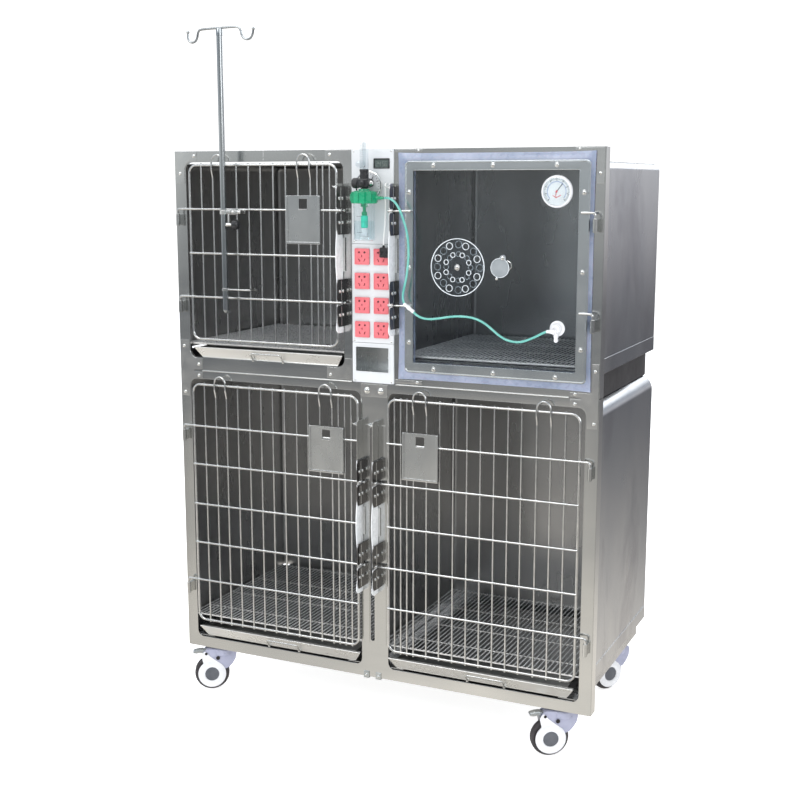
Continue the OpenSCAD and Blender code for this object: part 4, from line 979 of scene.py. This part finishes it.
# ---------------------------------------------------------------- flowmeter
FX, FY, KNOB_Z = 606, -45, 1339
GAUGE = (600, -3.2, 1333)
p = Piece("flowmeter_valve", "cabinet", "black_plastic", "flowmeter_body")
p.use("plastic").lathe([(37, 0), (37, -2), (34, -5.2), (31, -5.6)], GAUGE, "Y", 48)
p.use("rivet").lathe([(37.4, -1), (38.4, -3), (37.4, -6.4), (35.2, -7.2), (33.8, -6.4), (34.2, -4.6)],
    GAUGE, "Y", 56, hollow=True)
p.use("dial").lathe([(34.4, -4.4), (34.4, -5.4), (0, -5.5)], GAUGE)
p.use("ink").ticks((600, -8.9, 1333), 21, 225, 13.5, 31.5, 0.15, (25, 0.9), (27.5, 0.5))
p.box((-6, -0.3, -0.9), (27, 0.3, 0.9), 0.2, 1, turned((600, -9.6, 1333), -58))
p.use("black").box((590, FY - 12, 1327), (621, FY + 12, 1351), 4, 3)
p.lathe([(9, 0), (9.6, 2), (9.6, 30), (10.4, 34)], (FX, -44, KNOB_Z), "Y", 28)
p.lathe([(8.2, -8.5), (8.2, 0), (10.6, 1.5), (11.6, 3), (11.6, 13), (10.8, 14), (10.8, 20), (11.9, 21),
    (11.9, 26), (9, 27)], (FX, FY, 1347), "Z", 32)
p.lathe([(8.8, 0), (8.8, -7), (11.5, -9), (11.5, -14)], (FX, FY, 1330), "Z", 28)
p.use("rivet").lathe([(6.4, 0), (6.4, 4), (4.6, 6), (4.6, 9), (0, 9.4)], (621, FY, KNOB_Z), "X", 6)
p.use("black").lathe([(7.5, 0), (7.5, -3), (5, -4.5), (0, -4.6)], (FX, FY - 12, KNOB_Z), "Y", 24)
p.done(35)

p = Piece("flow_valve_knob", "flow_knob", "black_plastic", "flow_knob").use("black")
bm = bmesh.new()
# Rounds of 24 ribs: place, radius and how far every second point is cut in
skin(bm, [[bm.verts.new((x, FY + (r - k % 2 * cut) * c, KNOB_Z + (r - k % 2 * cut) * s))
    for k, (c, s) in enumerate(circle(0, 0, 1, 48))] for x, r, cut in ((574, 9, 0), (575.5, 12.4, 0.2),
    (577, 13, 0.8), (588.5, 13, 0.8), (590, 12, 0.3), (591, 9, 0))], caps=True)
p.take(bm, None, True)
p.lathe([(3, 0), (3, 12.5)], (591, FY, KNOB_Z), "X", 20)
p.use("rivet").lathe([(0, -1), (4.6, -0.8), (5.6, 0.2)], (574, FY, KNOB_Z), "X", 24)
p.done(30)

p = Piece("flowmeter_column", "cabinet", "clear_plastic", "flowmeter_tube").use("glass")
p.lathe([(11, 1373)] + arc(0, 1440, 11, 0, 78.75, 7) + [(0, 1451)], (FX, FY, 0), "Z", 36)
p.lathe([(3.4, 1373), (3.6, 1380), (4.4, 1434), (4.4, 1438), (0, 1440)], (FX, FY, 0), "Z", 24)
p.lathe([(8, 0), (8.6, -3), (8.6, -24), (7, -30), (0, -32)], (583, -6, 1386), "Y", 28)
p.use("ink")
for k in range(11):
    z, w = 1378 + k * 5.3, 3.6 if k % 5 else 5.2
    p.box((FX - w, FY - 10.6, z - 0.25), (FX + w, FY - 10.2, z + 0.25), 0)
p.use("rivet").lathe(mirrored([(2.7, 0), (2, 1.8), (0, 2.6)]), (FX, FY, 1381), "Z", 16)
p.done(40)

# ---------------------------------------------------------------- humidifier
p = Piece("humidifier_lid", "cabinet", "cap_green", "humidifier_cap").use("green")
LOBES = 12
bm = bmesh.new()
skin(bm, [[bm.verts.new((x, y, z)) for k in range(LOBES) for off, cut in ((0.12, 1), (0.5, 0.955),
    (0.88, 1), (1, 0.93)) for x, y in arc(FX, FY, r * cut, 360 * (k + off) / LOBES, 0, 1)[:1]]
    for z, r in ((1288, 30.5), (1289.5, 33.2), (1291, 34), (1314.5, 34), (1317, 32.4),
    (1318, 29.5))], caps=True)
p.take(bm, None, True)
p.lathe([(29, 0), (27, 1.6), (15, 3), (14, 6.5), (9.4, 7.2)], (FX, FY, 1317.6), "Z", 32)
p.lathe([(6.2, 0), (6.2, 5), (4.6, 6.5), (4.6, 9), (5.4, 10), (4, 12.5), (5, 13.5), (3.6, 16), (3.6, 23)],
    (FX + 31, FY, 1302), "X", 20)
p.box((FX - 37, FY - 9, 1294), (FX - 29, FY + 9, 1312), 1.6)
# The tab's recess is a near-black inset: painted shade
p.use("dark").box((FX - 37.4, FY - 6, 1297), (FX - 35, FY + 6, 1309), 0.5)
p.use("green").lathe([(9, 0), (9, -8), (4.4, -9), (4.2, -20), (7, -21), (7, -30), (4, -31)],
    (FX, FY, 1288), "Z", 24)
p.use("teal").lathe([(7.5, 1257.5), (9, 1256), (9, 1228), (7.5, 1226.5)], (FX, FY, 0), "Z", 24)
for k in range(6):
    p.lathe([(8.9, -1.3), (9.8, 0), (8.9, 1.3)], (FX, FY, 1231 + k * 4.8), "Z", 24)
p.use("plastic").lathe([(8, 1226), (8.6, 1224), (8.6, 1206), (12.4, 1205), (12.4, 1201), (0, 1200)],
    (FX, FY, 0), "Z", 24)
p.done(30)

p = Piece("humidifier_jar", "cabinet", "clear_plastic", "humidifier_bottle").use("glass")
p.lathe([(0, 1197), (22, 1196.4), (24.5, 1194), (26.8, 1195.2), (28, 1199), (28, 1202), (27.2, 1204),
    (27.2, 1276), (28, 1279), (28, 1283), (27, 1286), (27, 1290)], (FX, FY, 0), "Z", 48)
p.use("water").lathe([(24.6, 1198.5), (25.8, 1201), (25.8, 1244), (0, 1244.4)], (FX, FY, 0), "Z", 40)
p.use("ink")
for z in (1216, 1256):
    p.box((FX - 8, FY - 28.3, z - 0.4), (FX + 8, FY - 26.9, z + 0.4), 0)
p.done(40)

# ---------------------------------------------------------------- chamber door
RING, WINDOW = (708, 858, 1190, 1393), (731, 884, 1163, 1370)
p = Piece("chamber_door_ring", "chamber_door", "door_steel", "door_ring_ur").use("ring")
p.plate(rrect(*RING, 11), [rrect(*WINDOW, 2.5)], -20.6, -16.1, 0.9)
p.sweep_rect(RING, 11, [(0, -16.2), (0.6, -19.5), (-0.8, -22), (-3, -22.2), (-4.6, -20.8), (-4.6, -19.8)])
p.sweep_rect(WINDOW, 2.5, [(1.8, -20.4), (1.2, -21.3), (0.1, -21.1), (-0.2, -19.5), (0.1, -16.3),
    (1.8, -16.3)], 3)
p.use("wire")
y = CHAMBER_ROD_Y
for z in UPPER_RODS:
    p.tube([(664, y, z), (726, y, z)], 3.3, 14)
    p.lathe([(0, -2.6), (2.4, -2.2), (3.9, -0.4), (3.9, 1.2), (3.2, 2)], (664, y, z), "X", 14)
    p.lathe([(3.2, 0), (3, 1.2), (0, 2)], (726, y, z), "X", 14)
    line = fillet([(1172, y, z), (1205, y, z), (1205, y, z - 46)], 7, 6)
    p.tube(line, [3.3] * (len(line) - 2) + [3] * 2, 14)
    p.lathe([(0, -2), (3, -1.2), (3.2, 0)], (1172, y, z), "X", 14)
    for x in (716, 1180):
        p.box((x - 5, -24.4, z - 2.4), (x + 5, -20.4, z + 2.4), 0.8)
p.done(30)

p = Piece("chamber_door_screws", "chamber_door", "rivet_steel", "door_screws_ur")
for x, z in ((786, 1382), (944, 1382), (1107, 1382), (789, 870), (951, 870), (1113, 870), (1176, 1317),
        (1176, 1128), (1176, 941), (720, 1316), (720, 1127), (720, 936)):
    p.use("rivet").lathe([(6.2, 0), (6.2, -0.5), (5.2, -0.9)], (x, -20.5, z), "Y", 24)
    p.dome(x, -21.3, z, 4.5, 2.9)
    # Near-black cross slots on the screw heads: painted shade of the slots
    p.use("dark")
    for turn in (0, 90):
        p.box((-2.2, -0.25, -0.35), (2.2, 0.25, 0.35), 0, matrix=turned((x, -24.1, z), turn + x % 45))
p.done(30)

VX, VZ, VENT_RINGS = 852, 1131, (57, 33)
PORT_X, PORT_Z = 965, 1133


def vent_spots(turn, radius):
    """The centres of a ring of eight vent holes."""
    return arc(VX, VZ, radius, turn, turn + 315, 7)


def vent_holes(turn, holes):
    return [circle(x, z, hole, 20) for radius, hole in zip(VENT_RINGS, holes)
        for x, z in vent_spots(turn, radius)]


p = Piece("chamber_door_pane", "chamber_door", "pane_clear", "door_pane_ur").use("pane")
p.plate(rrect(717, 867, 1181, 1384, 4), vent_holes(0, (8, 5.6)) + [circle(PORT_X, PORT_Z, 16, 28)],
    -16, -11, 0.25)
# The pane's hole rims take the darker cut edge: painted shade behind the vent disc
p.use("dim_edge")
for radius, hole in zip(VENT_RINGS, (8.2, 5.8)):
    for x, z in vent_spots(0, radius):
        p.lathe([(hole, 0), (hole + 1, 0), (hole + 1, -0.8), (hole, -0.8)], (x, -11.6, z), "Y", 20,
            hollow=True)
p.done(30)

p = Piece("vent_disc_clear", "vent_disc", "pane_clear", "vent_disc").use("pane")
p.plate(circle(VX, VZ, 71.6, 72), vent_holes(22.5, (7.6, 5.2)), -19.4, -16.4, 0.3)
p.use("edge").lathe([(70.4, -16.5), (72.2, -16.5), (72.2, -19.7), (70.4, -19.7)], (VX, 0, VZ), "Y", 72,
    hollow=True)
for radius, hole in zip(VENT_RINGS, (7.7, 5.3)):
    for x, z in vent_spots(22.5, radius):
        p.lathe([(hole, 0), (hole, -3.2), (hole + 1.3, -3.2), (hole + 1.3, 0)], (x, -16.5, z), "Y", 22,
            hollow=True)
p.use("rivet").lathe([(7.5, 0), (7.5, -0.9), (6.2, -1.3)], (VX, -19.3, VZ), "Y", 24)
p.dome(VX, -20.4, VZ, 5.6, 3.6)
p.lathe([(2.9, 0), (2.9, -9)], (VX, -11.2, VZ), "Y", 16)
p.done(30)

p = Piece("port_cover_disc", "port_cover", "clear_plastic", "port_cover").use("frost")
p.plate(circle(PORT_X, PORT_Z, 24.2, 48), [], -19.3, -16.3, 0.6)
p.plate(circle(972, 1157, 8.2, 28), [], -19.5, -16.4, 0.5)
p.use("rivet").dome(972, -19.4, 1157, 5.2, 3.2)
p.use("edge").lathe([(23.2, -19.2), (24.3, -19.2), (24.3, -19.7), (23.2, -19.7)], (PORT_X, 0, PORT_Z), "Y",
    48, hollow=True)
p.done(30)

p = Piece("port_stop", "chamber_door", "rivet_steel").use("rivet")
p.dome(956, -16, 1106, 4, 2.6)
p.tube(fillet([(984, -16.6, 1151), (993, -17.6, 1146), (995, -17.6, 1136), (989, -16.6, 1128)], 4,
    4), 1.1, 8)
p.done(30)

# The gasket is a soft lip under the ring, which flares out to a thin turned edge with pointed corners
p = Piece("chamber_door_gasket", "chamber_door", "gasket_lavender", "door_gasket_ur").use("gasket")
# Offsets outward from the ring's edge, each with its y
LIP = [(-26, -10.8), (0, -10.9), (6, -10.7), (13, -9), (19, -6.2), (23.5, -4.4), (26, -3.4), (26, -1.6),
    (23, -1), (16, -0.7), (0, -0.6), (-26, -0.6)]
SIDES = [(708, 862, -1, -1), (1172, 862, 1, -1), (1172, 1389, 1, 1), (708, 1389, -1, 1)]
inner = rrect(729, 882, 1165, 1372)
bm = bmesh.new()
rings = []
for i, (cx, cz, sx, sz) in enumerate(SIDES):
    nx, nz, mx, mz = SIDES[(i + 1) % 4]
    inward = Vector(((0, 0, 1), (-1, 0, 0), (0, 0, -1), (1, 0, 0))[i])
    for t in (0, 0.03, 0.12, 0.3, 0.5, 0.7, 0.88, 0.97):
        ring = []
        for o, y in LIP:
            a = (cx + sx * o, cz + sz * o) if o >= 0 else inner[i]
            b = (nx + mx * o, nz + mz * o) if o >= 0 else inner[(i + 1) % 4]
            # the free edge bows in a little between the pointed corners
            bow = 2.2 * min(1, 8 * t * (1 - t)) * max(0, (o - 10) / 16)
            q = Vector((a[0], 0, a[1])).lerp(Vector((b[0], 0, b[1])), t) + inward * bow
            q.y = y + (0.6 * math.sin(37 * t + 2 * i) if o > 20 and 0 < t < 1 and y < -1.2 else 0)
            ring.append(bm.verts.new(q))
        rings.append(ring)
skin(bm, rings, closed=True, crossed=True)
p.take(bm, None, True)
p.done(40)

# Dial thermo-hygrometer
GX, GZ = 1109, 1319
face = (GX, -26.4, GZ)
p = Piece("climate_dial", "chamber_door", "gauge_white", "dial_gauge").use("plastic")
p.lathe([(36, 0), (38.2, -1.5), (39, -5), (38.6, -10), (37, -13), (35.4, -14), (33.6, -13), (33.2, -10)],
    (GX, -16, GZ), "Y", 64)
p.use("dial").lathe([(34, -9.6), (34, -10.2), (0, -10.3)], (GX, -16, GZ), "Y", 48)
p.use("ink").ticks(face, 41, 225, 6.75, 31.2, 0.12, (25.6, 0.8), (28.2, 0.42))
p.use("blue_ink").ticks(face, 60, 222, 4.4, 24.2, 0.1, (22.6, 0.7))
p.use("hand_red").ticks(face, 26, -40, 100 / 26, 13.8, 0.1, (12.2, 0.45))
for angle, reach, w, key in ((52, 24, 0.9, "ink"), (-104, 11, 0.8, "hand_red")):
    p.use(key).box((-4, -0.25, -w), (reach, 0.25, w), 0.15, 1, turned((GX, -26.9, GZ), -angle))
p.lathe([(2.6, 0), (2.6, -0.8), (1.4, -1.4), (0, -1.5)], (GX, -26.5, GZ), "Y", 20)
p.lathe([(1.6, 0), (1.6, -0.8), (0, -1)], (GX - 1, -26.5, GZ - 14), "Y", 16)
p.use("glass").lathe([(33.6, 0), (30, -0.9), (18, -1.6), (0, -1.9)], (GX, -28.6, GZ), "Y", 48)
p.done(30)

# Oxygen inlet
OX, OZ = 1115, 990
p = Piece("oxygen_inlet", "chamber_door", "gauge_white", "oxygen_port").use("plastic")
p.lathe([(19, 0), (19, -2.2), (17.6, -3.6), (13.5, -4.6), (12.6, -8), (12.2, -12.5), (11, -13.6),
    (10.6, -18), (9.4, -19.4), (5.4, -19.6), (5, -17), (0, -16.8)], (OX, -16, OZ))
p.lathe([(14.8, 0), (14.8, -1.2), (13.4, -1.4)], (OX, -19.8, OZ))
p.lathe([(6.2, 0), (6.2, -9), (5.2, -10.5), (5.2, -15), (6, -16), (4.8, -20), (3.4, -22)],
    (OX, -26, OZ - 11), "Z", 20)
p.lathe([(3.4, 0), (4.4, 1), (3.6, 5), (4.6, 6), (4.6, 9), (5.4, 10), (5.4, 21)], (1094, -37, 984), "X", 20)
p.box((OX - 8, -39, OZ - 11), (OX + 5, -31, OZ - 1), 2.4, 3)
p.use("hose").lathe([(2.6, 0), (2.6, -3)], (OX, -26, OZ - 30), "Z", 14)
p.done(35)

# ---------------------------------------------------------------- casters
TRAIL, WHEEL_Z = 35, -80
AXLE, PEDAL = (-TRAIL, 0, WHEEL_Z), (-52, 0, -17)
HOOD = fillet([(-50, -6), (30, -6), (35.5, -10), (37, -20), (34, -36), (25, -51), (15, -62), (6, -66),
    (-4, -70), (-16, -60), (-30, -44), (-46, -36), (-58, -28), (-60, -14)], 6, 3, True)
ROOF = fillet([(-46, 0, -24), (-52, 0, -10), (-40, 0, -6.6), (27, 0, -6.6), (34.5, 0, -14), (32, 0, -34),
    (23, 0, -50)], 7, 4)
TREADLE = fillet([(-52, -21.5), (-47.5, -17), (-52, -12), (-62, -8.5), (-76, -9.5), (-87, -12.5),
    (-90, -15.5), (-88, -18.5), (-80, -20), (-68, -18.5), (-60, -20)], 3, 3, True)


def caster(tag, spot, swing, braked):
    """A swivel caster in its own frame: its king pin is at the origin, and the wheel trails to -x."""
    at = turned((*spot, 0), swing, "Z")
    p = Piece("caster_housing_" + tag, "fork_" + tag, "housing_lavender", "caster_fork_" + tag, at=at)
    p.use("lavender")
    for y0, y1 in ((-17.5, -13.2), (13.2, 17.5)):
        p.plate(HOOD, [], y0, y1, 1.4)
    p.folds(ROOF, 0.6, 0.6, 14, 1.8, 0.5)
    p.lathe([(26, -24), (27, -22), (27, -9), (24.5, -5.5), (20, -5)], axis="Z")
    p.use("zinc").lathe([(20, -5.2), (21.5, -4.6), (21.5, -2.6), (20, -1.6), (12, -1.2), (12, -0.3),
        (0, -0.2)], axis="Z", n=36)
    p.lathe([(4.9, -2), (4.9, 2.4)], axis="Z", n=20)
    # Near-black discs on either side: painted shade of holes
    p.use("dark")
    for y in (-20.2, 20.2):
        p.lathe([(5.6, -0.6), (5.6, 0.6)], (-17, y, -32), "Y", 20)
    # White side covers: a round shield with one pointed ear
    ex, ez = (-60, -16) if braked else (-54, -34)
    outline = (arc(-TRAIL, WHEEL_Z, 40.5, 128, 398, 40) + [(-5, -53), (-22, -40), (-40, -26),
        (ex + 6, ez + 5), (ex, ez + 1), (ex - 5, ez - 8)])
    other_side = Matrix.Rotation(math.pi, 4, "Z") @ Matrix.Translation((2 * TRAIL, 0, 0))
    for y0, y1, flip in ((-20.2, -17.2, None), (17.2, 20.2, other_side)):
        p.use("plastic").plate(outline, [], y0, y1, 1.2)
        p.lathe([(38, 0), (36, -1.5), (30, -2.6), (24, -2.7), (21.5, -2), (20.5, -0.6)],
            (-TRAIL, -19.8, WHEEL_Z), "Y", 56, flip)
        p.use("cap_grey").lathe([(20.6, 0), (20.2, -1.3), (16, -2.2), (8, -2.5), (0, -2.6)],
            (-TRAIL, -19.4, WHEEL_Z), "Y", 48, flip)
    p.use("zinc").lathe([(4, -19), (4, 19)], AXLE, "Y", 16)
    if braked:
        p.lathe([(2.4, -20.2), (2.4, 20.2)], PEDAL, "Y", 16)
        # Near-black discs at the pedal's pivot: painted shade of its holes
        for y in (-20.3, 20.3):
            p.use("dark").lathe([(4, -0.4), (4, 0.4)], (PEDAL[0] + 1, y, PEDAL[2] - 1), "Y", 16)
    p.done(32)

    p = Piece("caster_tyre_" + tag, "wheel_" + tag, "tread_grey", "caster_wheel_" + tag, at=at).use("tread")
    p.lathe(mirrored([(49.2, 1.8), (50, 2.2), (50, 6), (48.6, 9.5), (45.5, 11.5), (38, 11.5)]),
        AXLE, "Y", 72)
    p.use("plastic").lathe(mirrored([(38.4, 11.8), (30, 9), (13, 10), (12, 12), (4.1, 12)]), AXLE, "Y", 48,
        hollow=True)
    p.done(32)

    if braked:
        p = Piece("caster_brake_" + tag, "pedal_" + tag, "pedal_zinc", "brake_pedal_" + tag,
            at=at).use("zinc")
        p.plate(TREADLE, [], -11, 11, 1.6)
        for k in range(5):
            x = -67 - k * 4
            p.box((x - 0.9, -9, -9.6 - k * 0.6), (x + 0.9, 9, -7.6 - k * 0.85), 0.4, 1)
        p.lathe(mirrored([(5.8, 10), (5.4, 12)]), PEDAL, "Y", 24)
        p.done(32)


caster("fl", (98, 33), 32, True)
caster("fr", (1136, 33), 32, True)
caster("rl", (77, 530), 54, False)
caster("rr", (1143, 530), 54, False)


# ---------------------------------------------------------------- studio
def ramp(nt, height, *stops):
    """Colours by the height of a direction, from straight down (0) to straight up (1)."""
    n = nt.nodes.new("ShaderNodeValToRGB")
    el = n.color_ramp.elements
    for e, (pos, *c) in zip(el, (stops[0], stops[-1])):
        e.position, e.color = pos, (*c, 1)
    for pos, *c in stops[1:-1]:
        el.new(pos).color = (*c, 1)
    nt.links.new(height, n.inputs[0])
    return n.outputs[0]


def scaled(nt, colour, factor):
    n = nt.nodes.new("ShaderNodeVectorMath")
    n.operation = "SCALE"
    nt.links.new(colour, n.inputs[0])
    nt.links.new(factor, n.inputs["Scale"])
    return n.outputs[0]


def studio_world():
    """A room seen only in reflections: one ramp of brightness to the front, another behind."""
    world = bpy.data.worlds.new("studio")
    bpy.context.scene.world = world
    world.use_nodes = True
    nt = world.node_tree
    bg = nt.nodes["Background"]
    way = node(nt, "TexCoord").outputs["Generated"]
    sep = node(nt, "SeparateXYZ", Vector=way)
    height = ranged(nt, sep.outputs["Z"], 0, 1, -1, 1)
    front = ramp(nt, height, (0, 0.45, 0.43, 0.39), (0.3, 0.95, 0.91, 0.85), (0.345, 0.72, 0.69, 0.64),
        (0.385, 0.6, 0.58, 0.54), (0.42, 0.2, 0.215, 0.24), (0.45, 0.14, 0.15, 0.165),
        (0.487, 0.46, 0.475, 0.48), (0.52, 0.6, 0.62, 0.62), (0.56, 0.34, 0.38, 0.42),
        (0.7, 0.66, 0.72, 0.78), (1, 0.8, 0.8, 0.8))
    rear = ramp(nt, height, (0, 0.4, 0.38, 0.35), (0.32, 0.6, 0.57, 0.53), (0.365, 0.3, 0.29, 0.28),
        (0.41, 0.15, 0.15, 0.16), (0.45, 0.12, 0.12, 0.13), (0.475, 0.34, 0.33, 0.35),
        (0.51, 0.62, 0.62, 0.64), (0.56, 0.34, 0.36, 0.4), (0.7, 0.6, 0.66, 0.72), (1, 0.8, 0.8, 0.8))
    # The front ramp is brighter to the left than to the right
    front = scaled(nt, front, ranged(nt, sep.outputs["X"], 1.3, 0.72, -0.68, -0.39))
    sky = mixed(nt, ranged(nt, sep.outputs["Y"], 0, 1, -0.35, 0.35), front, rear)
    # Broad soft patches, so that flat steel shows bands
    mp = node(nt, "Mapping", Vector=way, Scale=(1.6, 1.6, 0.6))
    wave = node(nt, "TexNoise", Vector=mp.outputs[0], Scale=2.2, Detail=2)
    sky = scaled(nt, sky, ranged(nt, wave.outputs["Fac"], 0.55, 1.4, 0.36, 0.64))
    seen = node(nt, "LightPath").outputs["Is Camera Ray"]
    nt.links.new(mixed(nt, seen, sky, (1, 1, 1)), bg.inputs["Color"])
    bg.inputs["Strength"].default_value = 1.25


def area(name, location, target, size, power):
    light = bpy.data.lights.new(name, "AREA")
    light.shape = "RECTANGLE"
    light.size = light.size_y = size
    light.energy = power
    o = add(name, light)
    o.location = location
    o.rotation_euler = (Vector(target) - Vector(location)).to_track_quat("-Z", "Y").to_euler()
    return o


studio_world()

bm = bmesh.new()
bmesh.ops.create_circle(bm, cap_ends=True, segments=96, radius=14)
mesh = bpy.data.meshes.new("floor")
bm.to_mesh(mesh)
bm.free()
floor = add("floor", mesh)
mesh.materials.append(material("floor_pale", (0.9, 0.9, 0.9), (0.93, 0.93, 0.93), (0.6, 0.8), 0, 1.2,
    Emission_Color=(1, 1, 1, 1), Emission_Strength=0.7))
floor.visible_glossy = False

area("key", (-1.6, -4.2, 4.4), (0, 0, 0.8), 3.2, 96)
# The low front light would show as a white band in the steel, so reflections don't see it
low = area("front", (-1.2, -5, 2.1), (0.1, 0, 0.9), 2.2, 34)
low.visible_glossy = False
area("fill", (4.4, -2.6, 3.2), (0, 0, 0.8), 3, 78)
area("top", (0.2, 0.4, 5.6), (0, 0, 0), 5, 90)
area("back", (1.5, 4.4, 3.4), (0, 0, 0.8), 3, 56)
bpy.context.scene.view_settings.view_transform = "Standard"
bpy.context.scene.view_settings.look = "None"
